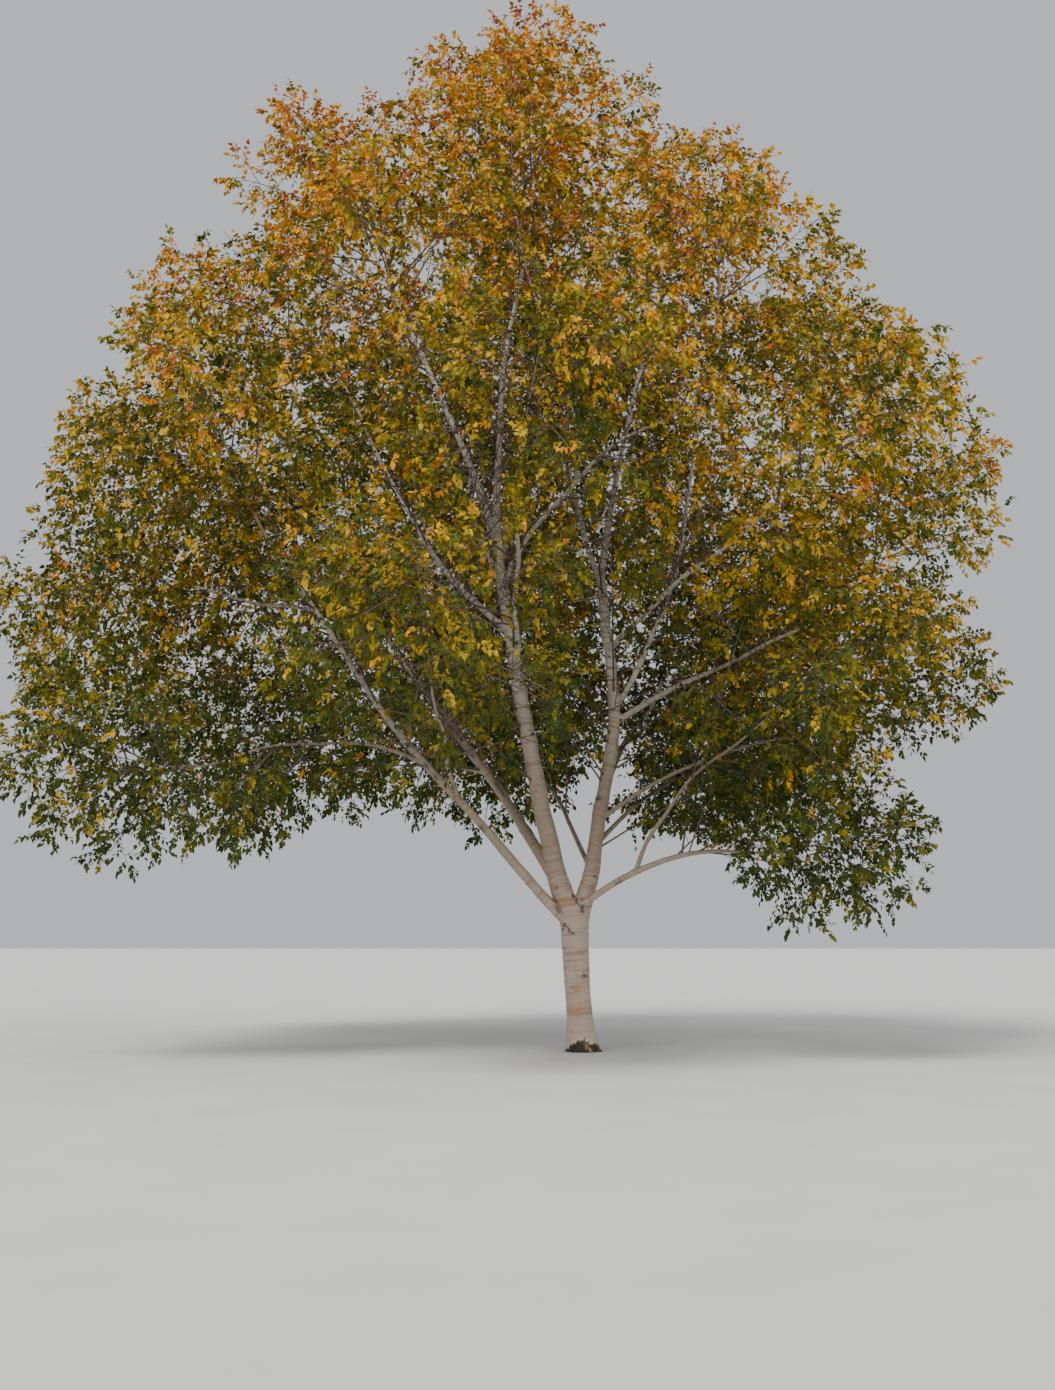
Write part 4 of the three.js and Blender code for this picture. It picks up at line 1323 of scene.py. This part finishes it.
def birch_bark(name, shades, peeled_share):
    """Birch bark: papery layers that peel in level strips. It reads as soft level bands of cream and
    pink, fresh salmon where a strip has just come off, and short dark level pores, all quite matt."""
    material, tree = new_material(name)
    marks = {mark: add(tree, "ShaderNodeAttribute", {"attribute_name": mark}).outputs
             for mark in ("bark_place", "fresh", "youth", "crease", "peeling", "bare")}

    def stretched(x, z, detail):
        """Noise with features of 1/x metres round the limb and 1/z metres along it."""
        moved = add(tree, "ShaderNodeVectorMath", {"operation": "MULTIPLY"}, i0=marks["bark_place"]["Vector"],
                    i1=(x, x, z))
        return add(tree, "ShaderNodeTexNoise", Vector=moved, Scale=1.0, Detail=detail)

    bands = stretched(1.4, 13, 4.0)
    lines = stretched(7, 150, 3.0)
    strips = stretched(3.4, 8, 4.0)
    colour, cream_and_painted_light = [add(tree, "ShaderNodeValToRGB", {"stops": stops}, Fac=bands)
                      for stops in (shades, UPPER_CREAM_AND_LIGHT)]
    eager = add(tree, "ShaderNodeMath", {"operation": "MULTIPLY_ADD"}, i0=marks["fresh"]["Fac"], i1=0.24,
                i2=strips)
    fresh = add(tree, "ShaderNodeValToRGB", {"stops": [(peeled_share, BLACK), (peeled_share + 0.07, WHITE)]},
                Fac=eager)
    fine = add(tree, "ShaderNodeValToRGB", {"stops": [(0.36, WHITE), (0.46, BLACK)]}, Fac=lines)
    whole = add(tree, "ShaderNodeTexCoord").outputs["Object"]
    height = add(tree, "ShaderNodeSeparateXYZ", i0=whole).outputs[2]
    # Paler with height: the young bark's cream, and partly painted light on the limbs that the crown shades.
    upper = add(tree, "ShaderNodeMapRange", Value=height, From_Min=UPPER_BARK[0], From_Max=UPPER_BARK[1],
                To_Max=0.88)
    salmon, faint, frayed, tenth = [
        add(tree, "ShaderNodeMath", {"operation": "MULTIPLY"}, i0=value, i1=share)
        for value, share in ((fresh, 0.58), (fine, 0.2), (marks["peeling"]["Fac"], 0.85), (height, 0.1))]
    # Painted shade of the crown: olive grey over the limbs between about 1.9 and 5.2 metres.
    crown_shade = add(tree, "ShaderNodeValToRGB", {"stops": PAINTED_CROWN_SHADE}, Fac=tenth)

    cells = add(tree, "ShaderNodeVectorMath", {"operation": "MULTIPLY"}, i0=marks["bark_place"]["Vector"],
                i1=(10, 10, 62))
    pores = add(tree, "ShaderNodeTexVoronoi", Vector=cells, Scale=1.0)
    dots = add(tree, "ShaderNodeMath", {"operation": "LESS_THAN"}, i0=pores.outputs["Distance"], i1=0.17)
    chosen = add(tree, "ShaderNodeSeparateColor", i0=pores.outputs["Color"])
    few = add(tree, "ShaderNodeMath", {"operation": "GREATER_THAN"}, i0=chosen, i1=0.62)
    dark = add(tree, "ShaderNodeMath", {"operation": "MULTIPLY"}, i0=dots, i1=few)

    mottle = add(tree, "ShaderNodeMapRange", Value=stretched(55, 70, 3.0), From_Min=0.35, From_Max=0.6,
                 To_Min=0.35, To_Max=1.25)
    # Creases, knots and scars are dark; in the hollows of the fork this is partly painted shade.
    crease_dark_and_shade = add(tree, "ShaderNodeMath", {"operation": "MULTIPLY", "use_clamp": True},
                       i0=marks["crease"]["Fac"], i1=mottle)
    grain = add(tree, "ShaderNodeValToRGB", {"stops": [(0.35, "1f1814"), (0.58, "3d3026"), (0.7, "b28655")]},
                Fac=stretched(12, 9, 4.0))

    # From the first to the last, each of these covers what is under it by its share.
    # The olive layer is painted shade of the crown, the cream layer is partly painted light, and the dark
    # crease layer is partly painted shade.
    layers = [
        (salmon, linear("b8805c")), (upper, cream_and_painted_light), (crown_shade, linear("80765c")), (faint, linear("8a7768")),
        (dark, linear("65554a")), (marks["youth"]["Fac"], linear("85735f")),
        (crease_dark_and_shade, linear("3c3029")), (frayed, linear("e2d9cf")), (marks["bare"]["Fac"], grain),
    ]
    for share, over in layers:
        colour = add(tree, "ShaderNodeMix", {"data_type": "RGBA"}, i0=share, i6=colour, i7=over).outputs[2]

    relief = add(tree, "ShaderNodeMath", {"operation": "ADD"}, i0=lines, i1=bands)
    relief = add(tree, "ShaderNodeMath", {"operation": "SUBTRACT"}, i0=relief, i1=dark)
    bump = add(tree, "ShaderNodeBump", Strength=0.5, Distance=0.004, Height=relief)
    rough = add(tree, "ShaderNodeMapRange", Value=bands, To_Min=0.62, To_Max=0.82)
    shader = add(tree, "ShaderNodeBsdfPrincipled", Base_Color=colour, Roughness=rough, IOR=1.5, Normal=bump)
    add(tree, "ShaderNodeOutputMaterial", Surface=shader)
    return material


def fine_grained(name, colour, scale, detail, strength, rough, **finish):
    """A material whose fine grain shows in its relief and its gloss, and also in its colour where that is
    given as the stops of a ramp."""
    material, tree = new_material(name)
    place = add(tree, "ShaderNodeTexCoord").outputs["Object"]
    grain = add(tree, "ShaderNodeTexNoise", Vector=place, Scale=scale, Detail=detail)
    if isinstance(colour, str):
        shade = linear(colour)
    else:
        shade = add(tree, "ShaderNodeValToRGB", {"stops": colour}, Fac=grain)
    bump = add(tree, "ShaderNodeBump", Strength=strength, Distance=0.002, Height=grain)
    gloss = add(tree, "ShaderNodeMapRange", Value=grain, To_Min=rough[0], To_Max=rough[1])
    shader = add(tree, "ShaderNodeBsdfPrincipled", Base_Color=shade, Roughness=gloss, Normal=bump,
                 **finish)
    add(tree, "ShaderNodeOutputMaterial", Surface=shader)
    return material


def twig_bark(name, colour, paler):
    """Young birch twigs: thin smooth brown bark with a faint gloss and pale specks."""
    return fine_grained(name, [(0.35, colour), (0.7, paler)], 55.0, 3.0, 0.4, (0.5, 0.7), IOR=1.5)


def birch_leaf(name, colour):
    """A birch leaf in autumn: thin and dry, its upper face a little waxy, so that the gloss comes and
    goes over the raised veins. Each tint is one plain colour."""
    return fine_grained(name, colour, 90.0, 2.0, 0.35, (0.5, 0.75), IOR=1.45, Specular_IOR_Level=0.3)


def studio_floor(name):
    """A pale painted studio floor, quite matt, with the faintest roller mottle."""
    material, tree = new_material(name)
    place = add(tree, "ShaderNodeTexCoord").outputs["Object"]
    mottle = add(tree, "ShaderNodeTexNoise", Vector=place, Scale=0.8, Detail=3.0)
    shade = add(tree, "ShaderNodeValToRGB", {"stops": [(0.3, "cfcecb"), (0.7, "d6d5d2")]}, Fac=mottle)
    shader = add(tree, "ShaderNodeBsdfPrincipled", Base_Color=shade, Roughness=0.85)
    add(tree, "ShaderNodeOutputMaterial", Surface=shader)
    return material


# The pale bark's pinkish cream is darkened and warmed beyond the bark's own colour: painted shade of the
# crown over the trunk and the main boughs.
pale_bark = birch_bark("peeling_birch_bark", [
    (0.3, "968272"), (0.42, "baa291"), (0.52, "c7b3a2"), (0.62, "bc9d8c"), (0.72, "a6816b")], 0.62)
young_bark = birch_bark("young_birch_bark", [
    (0.3, "8a7766"), (0.45, "b09d89"), (0.58, "c2b09b"), (0.72, "9d8671")], 0.68)
brown_bark = twig_bark("twig_bark", "55453a", "867362")
thin_bark = twig_bark("thin_twig_bark", "3e2e24", "5c4636")


# Curls of peeling bark and raised pores, set over the trunk and the stems by geometry nodes

def node_tree(name, **inputs):
    """An empty geometry tree with these inputs: each name with its kind of socket."""
    tree = bpy.data.node_groups.new(name, "GeometryNodeTree")
    tree.interface.new_socket("Geometry", in_out="INPUT", socket_type="NodeSocketGeometry")
    for name, kind in inputs.items():
        tree.interface.new_socket(name.replace("_", " "), in_out="INPUT", socket_type="NodeSocket" + kind)
    tree.interface.new_socket("Geometry", in_out="OUTPUT", socket_type="NodeSocketGeometry")
    return tree, tree.nodes.new("NodeGroupInput").outputs


def scatter(tree, given, shape, density, least, most, tilt):
    """Sets a shape over a surface, its X outwards and its Z upright, and ends the tree."""
    points = add(tree, "GeometryNodeDistributePointsOnFaces", Mesh=given["Geometry"], Density=density,
                 Seed=given["Seed"])
    upright = add(tree, "FunctionNodeAlignRotationToVector", {"axis": "X", "pivot_axis": "Z"},
                  Vector=points.outputs["Normal"])
    askew = add(tree, "FunctionNodeRandomValue", {"data_type": "FLOAT_VECTOR"}, i0=(-tilt, 0, 0),
                i1=(tilt, 0, 0), Seed=given["Seed"])
    turn = add(tree, "FunctionNodeEulerToRotation", i0=askew)
    turned = add(tree, "FunctionNodeRotateRotation", {"rotation_space": "LOCAL"}, i0=upright, i1=turn)
    size = add(tree, "FunctionNodeRandomValue", {"data_type": "FLOAT_VECTOR"}, i0=least, i1=most,
               Seed=given["Seed"])
    placed = add(tree, "GeometryNodeInstanceOnPoints", Points=points.outputs["Points"], Instance=shape,
                 Rotation=turned, Scale=size)
    real = add(tree, "GeometryNodeRealizeInstances", Geometry=placed)
    painted = add(tree, "GeometryNodeSetMaterial", Geometry=real, Material=given["Material"])
    add(tree, "NodeGroupOutput", Geometry=painted)
    return tree


def curl_tree():
    """Strips of bark that have come loose and rolled up."""
    tree, given = node_tree("bark_curls", Curls_per_Square_Metre="Float", Strip_Height="Float",
                            Roll_Radius="Float", Thickness="Float", Seed="Int", Material="Material")
    loose = add(tree, "GeometryNodeInputNamedAttribute", {"data_type": "FLOAT"}, Name="peeling")
    density = add(tree, "ShaderNodeMath", {"operation": "MULTIPLY"}, i0=loose,
                  i1=given["Curls per Square Metre"])
    inner = add(tree, "ShaderNodeMath", {"operation": "MULTIPLY"}, i0=given["Roll Radius"], i1=0.45)
    roll = add(tree, "GeometryNodeCurveSpiral", Resolution=12, Rotations=0.75, Start_Radius=inner,
               End_Radius=given["Roll Radius"], Height=0.0)
    along = add(tree, "GeometryNodeSplineParameter")
    narrowing = add(tree, "ShaderNodeMapRange", Value=along.outputs["Factor"], To_Min=0.25, To_Max=1.0)
    narrowed = add(tree, "GeometryNodeSetCurveRadius", Curve=roll, Radius=narrowing)
    level = add(tree, "GeometryNodeSetCurveNormal", {"mode": "Z_UP"}, Curve=narrowed)
    strip = add(tree, "GeometryNodeCurvePrimitiveQuadrilateral", Width=given["Thickness"],
                Height=given["Strip Height"])
    sheet = add(tree, "GeometryNodeCurveToMesh", Curve=level, Profile_Curve=strip, Fill_Caps=True)
    clear = add(tree, "ShaderNodeMath", {"operation": "MULTIPLY"}, i0=given["Roll Radius"], i1=0.9)
    out = add(tree, "ShaderNodeCombineXYZ", X=clear)
    seated = add(tree, "GeometryNodeTransform", Geometry=sheet, Translation=out,
                 Rotation=(0, 0, -math.pi / 2))
    return scatter(tree, given, seated, density, (0.5, 0.5, 0.5), (1.4, 1.4, 1.5), 0.9)


def pore_tree():
    """Level pores, each a low dark lens."""
    tree, given = node_tree("bark_pores", Pores_per_Square_Metre="Float", Pore_Height="Float", Seed="Int",
                            Material="Material")
    lens = add(tree, "GeometryNodeMeshIcoSphere", Radius=given["Pore Height"], Subdivisions=1)
    flat = add(tree, "GeometryNodeTransform", Geometry=lens, Scale=(0.6, 4.5, 1.0))
    sound = add(tree, "GeometryNodeInputNamedAttribute", {"data_type": "FLOAT"}, Name="sound_bark")
    density = add(tree, "ShaderNodeMath", {"operation": "MULTIPLY"}, i0=sound,
                  i1=given["Pores per Square Metre"])
    return scatter(tree, given, flat, density, (1, 0.5, 0.7), (1, 1.6, 1.3), 0.12)


def grown_on(surface, name, tree, **values):
    """The tree's result on a copy of the surface, as a plain mesh of its own."""
    holder = in_scene(name + "_holder", surface.data.copy())
    modifier = holder.modifiers.new(name, "NODES")
    modifier.node_group = tree
    for item in tree.interface.items_tree:
        if item.in_out == "INPUT" and item.name.replace(" ", "_") in values:
            modifier[item.identifier] = values[item.name.replace(" ", "_")]
    return in_scene(name, result_of(holder))


curl_bark = twig_bark("curled_bark", "cfc0b2", "e9e0d6")
pore_bark = twig_bark("pore_cork", "5e4e43", "7d6b5e")
curls = grown_on(core, "bark_curls", curl_tree(), Curls_per_Square_Metre=1400.0, Strip_Height=0.022,
                 Roll_Radius=0.008, Thickness=0.0012, Seed=5, Material=curl_bark)
pores = grown_on(core, "bark_pores", pore_tree(), Pores_per_Square_Metre=45.0, Pore_Height=0.002, Seed=9,
                 Material=pore_bark)


# Twigs and leaves

def twig_piece(name, curves, roots, tips, sides, rings, material):
    """Twigs as one piece. `roots` gives two lengths and the radii at the root that go with them, and
    `tips` is the share of it at the tip."""
    root_sizes = np.interp(sizes_of(curves), *roots)
    return mesh_piece(name, *twig_tubes(curves, root_sizes, root_sizes * tips, sides, rings), True, material)


branchlets = twig_piece("branchlets", firsts, ((0.3, 2.3), (0.007, 0.015)), 0.3, 5, 4, brown_bark)
sprig_piece = twig_piece("sprigs", sprigs, ((0.1, 1.0), (0.004, 0.0075)), 0.4, 3, 2, brown_bark)
shoot_piece = twig_piece("leafy_shoots", shoots, ((0.1, 0.35), (0.0018, 0.003)), 0.5, 3, 1, thin_bark)

# A piece with this many leaves stays under 200,000 triangles.
MOST_LEAVES = 48000
leaf_pieces = {}
for number, tint in enumerate(TINTS):
    material = birch_leaf(tint.name + "_birch_leaf", tint.colour)
    grown = leaves_on(shoots[tints == number])
    kept = ~in_the_way(grown[0] + 0.5 * grown[1] * grown[3][:, None])
    roots, directions, faces, lengths = [values[kept] for values in grown]
    leaf_pieces[tint.name] = []
    for number_of_part, low in enumerate(range(0, len(roots), MOST_LEAVES), 1):
        part = slice(low, low + MOST_LEAVES)
        blades = leaf_blades(roots[part], directions[part], faces[part], lengths[part])
        piece = mesh_piece(f"leaves_{tint.name}_{number_of_part}", *blades, False, material)
        leaf_pieces[tint.name].append(piece)

boughs = {}
bough_nodes = {}
for name, material, main in (("main_boughs", pale_bark, True), ("lesser_boughs", young_bark, False)):
    chosen = [i for i, row in enumerate(BOUGHS) if (row.thick[0] > MAIN_THICKNESS) == main]
    places, corners, marks = joined([limbs[i] for i in chosen])
    boughs[name] = mesh_piece(name, places, corners, True, material, marks)
    bough_nodes[name] = [BOUGHS[i].name + "_bough" for i in chosen]
core.data.materials.append(pale_bark)


# What each piece stands for. The tree is one body.

def settle(piece, slot, *nodes):
    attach(piece, "root")
    if nodes:
        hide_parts(*nodes)


settle(core, "pale_bark", "trunk", "leader", "right_stem")
settle(curls, "pale_bark")
settle(pores, "pale_bark")
settle(boughs["main_boughs"], "pale_bark", *bough_nodes["main_boughs"])
settle(boughs["lesser_boughs"], "bough_bark", *bough_nodes["lesser_boughs"])
for piece in (branchlets, sprig_piece, shoot_piece):
    settle(piece, "bough_bark")
# The masses above this height have turned, and the others are still mostly green.
TURNED_ABOVE = 7.3
STANDS_FOR = {
    "amber": [row.name + "_foliage" for row in BOUGHS if row.centre[2] > TURNED_ABOVE],
    "olive": [row.name + "_foliage" for row in BOUGHS if row.centre[2] <= TURNED_ABOVE],
}
for tint in TINTS:
    for number, piece in enumerate(leaf_pieces[tint.name]):
        settle(piece, tint.slot, *(STANDS_FOR.get(tint.name, []) if number == 0 else []))


# Floor, light and camera

FLOOR_HALF = 150.0
FLOOR_DROP = 0.002
WORLD_LIGHT = 0.7
VIEW_END = 400

floor_corners = FLOOR_HALF * np.array([(-1, -1, 0), (1, -1, 0), (1, 1, 0), (-1, 1, 0)]) - (0, 0, FLOOR_DROP)
floor = mesh_piece("studio_floor", floor_corners, np.array([(0, 1, 2), (0, 2, 3)]), False,
                   studio_floor("matt_floor_paint"))


def sun(name, strength, spread, bearing, height):
    """A soft distant light from a bearing (0 is from the front, 90 from the right) and a height."""
    lamp = bpy.data.lights.new(name, "SUN")
    lamp.energy = strength
    lamp.angle = math.radians(spread)
    in_scene(name, lamp).rotation_euler = (math.radians(90 - height), 0, math.radians(bearing))


sun("key_light", 3.1, 25, -30, 50)
sun("fill_light", 0.8, 60, 50, 30)

world = bpy.data.worlds.new("studio_air")
world.use_nodes = True
background = world.node_tree.nodes["Background"]
background.inputs["Color"].default_value = linear("eef1f4")
background.inputs["Strength"].default_value = WORLD_LIGHT
bpy.context.scene.world = world

lens = bpy.data.cameras.new("camera")
lens.sensor_width = SENSOR
lens.lens = FOCAL_LENGTH / PICTURE[1] * SENSOR
lens.clip_end = VIEW_END
camera = in_scene("camera", lens)
camera.location = CAMERA_PLACE
camera.rotation_euler = (math.radians(90) + CAMERA_TILT, 0, 0)
bpy.context.scene.camera = camera
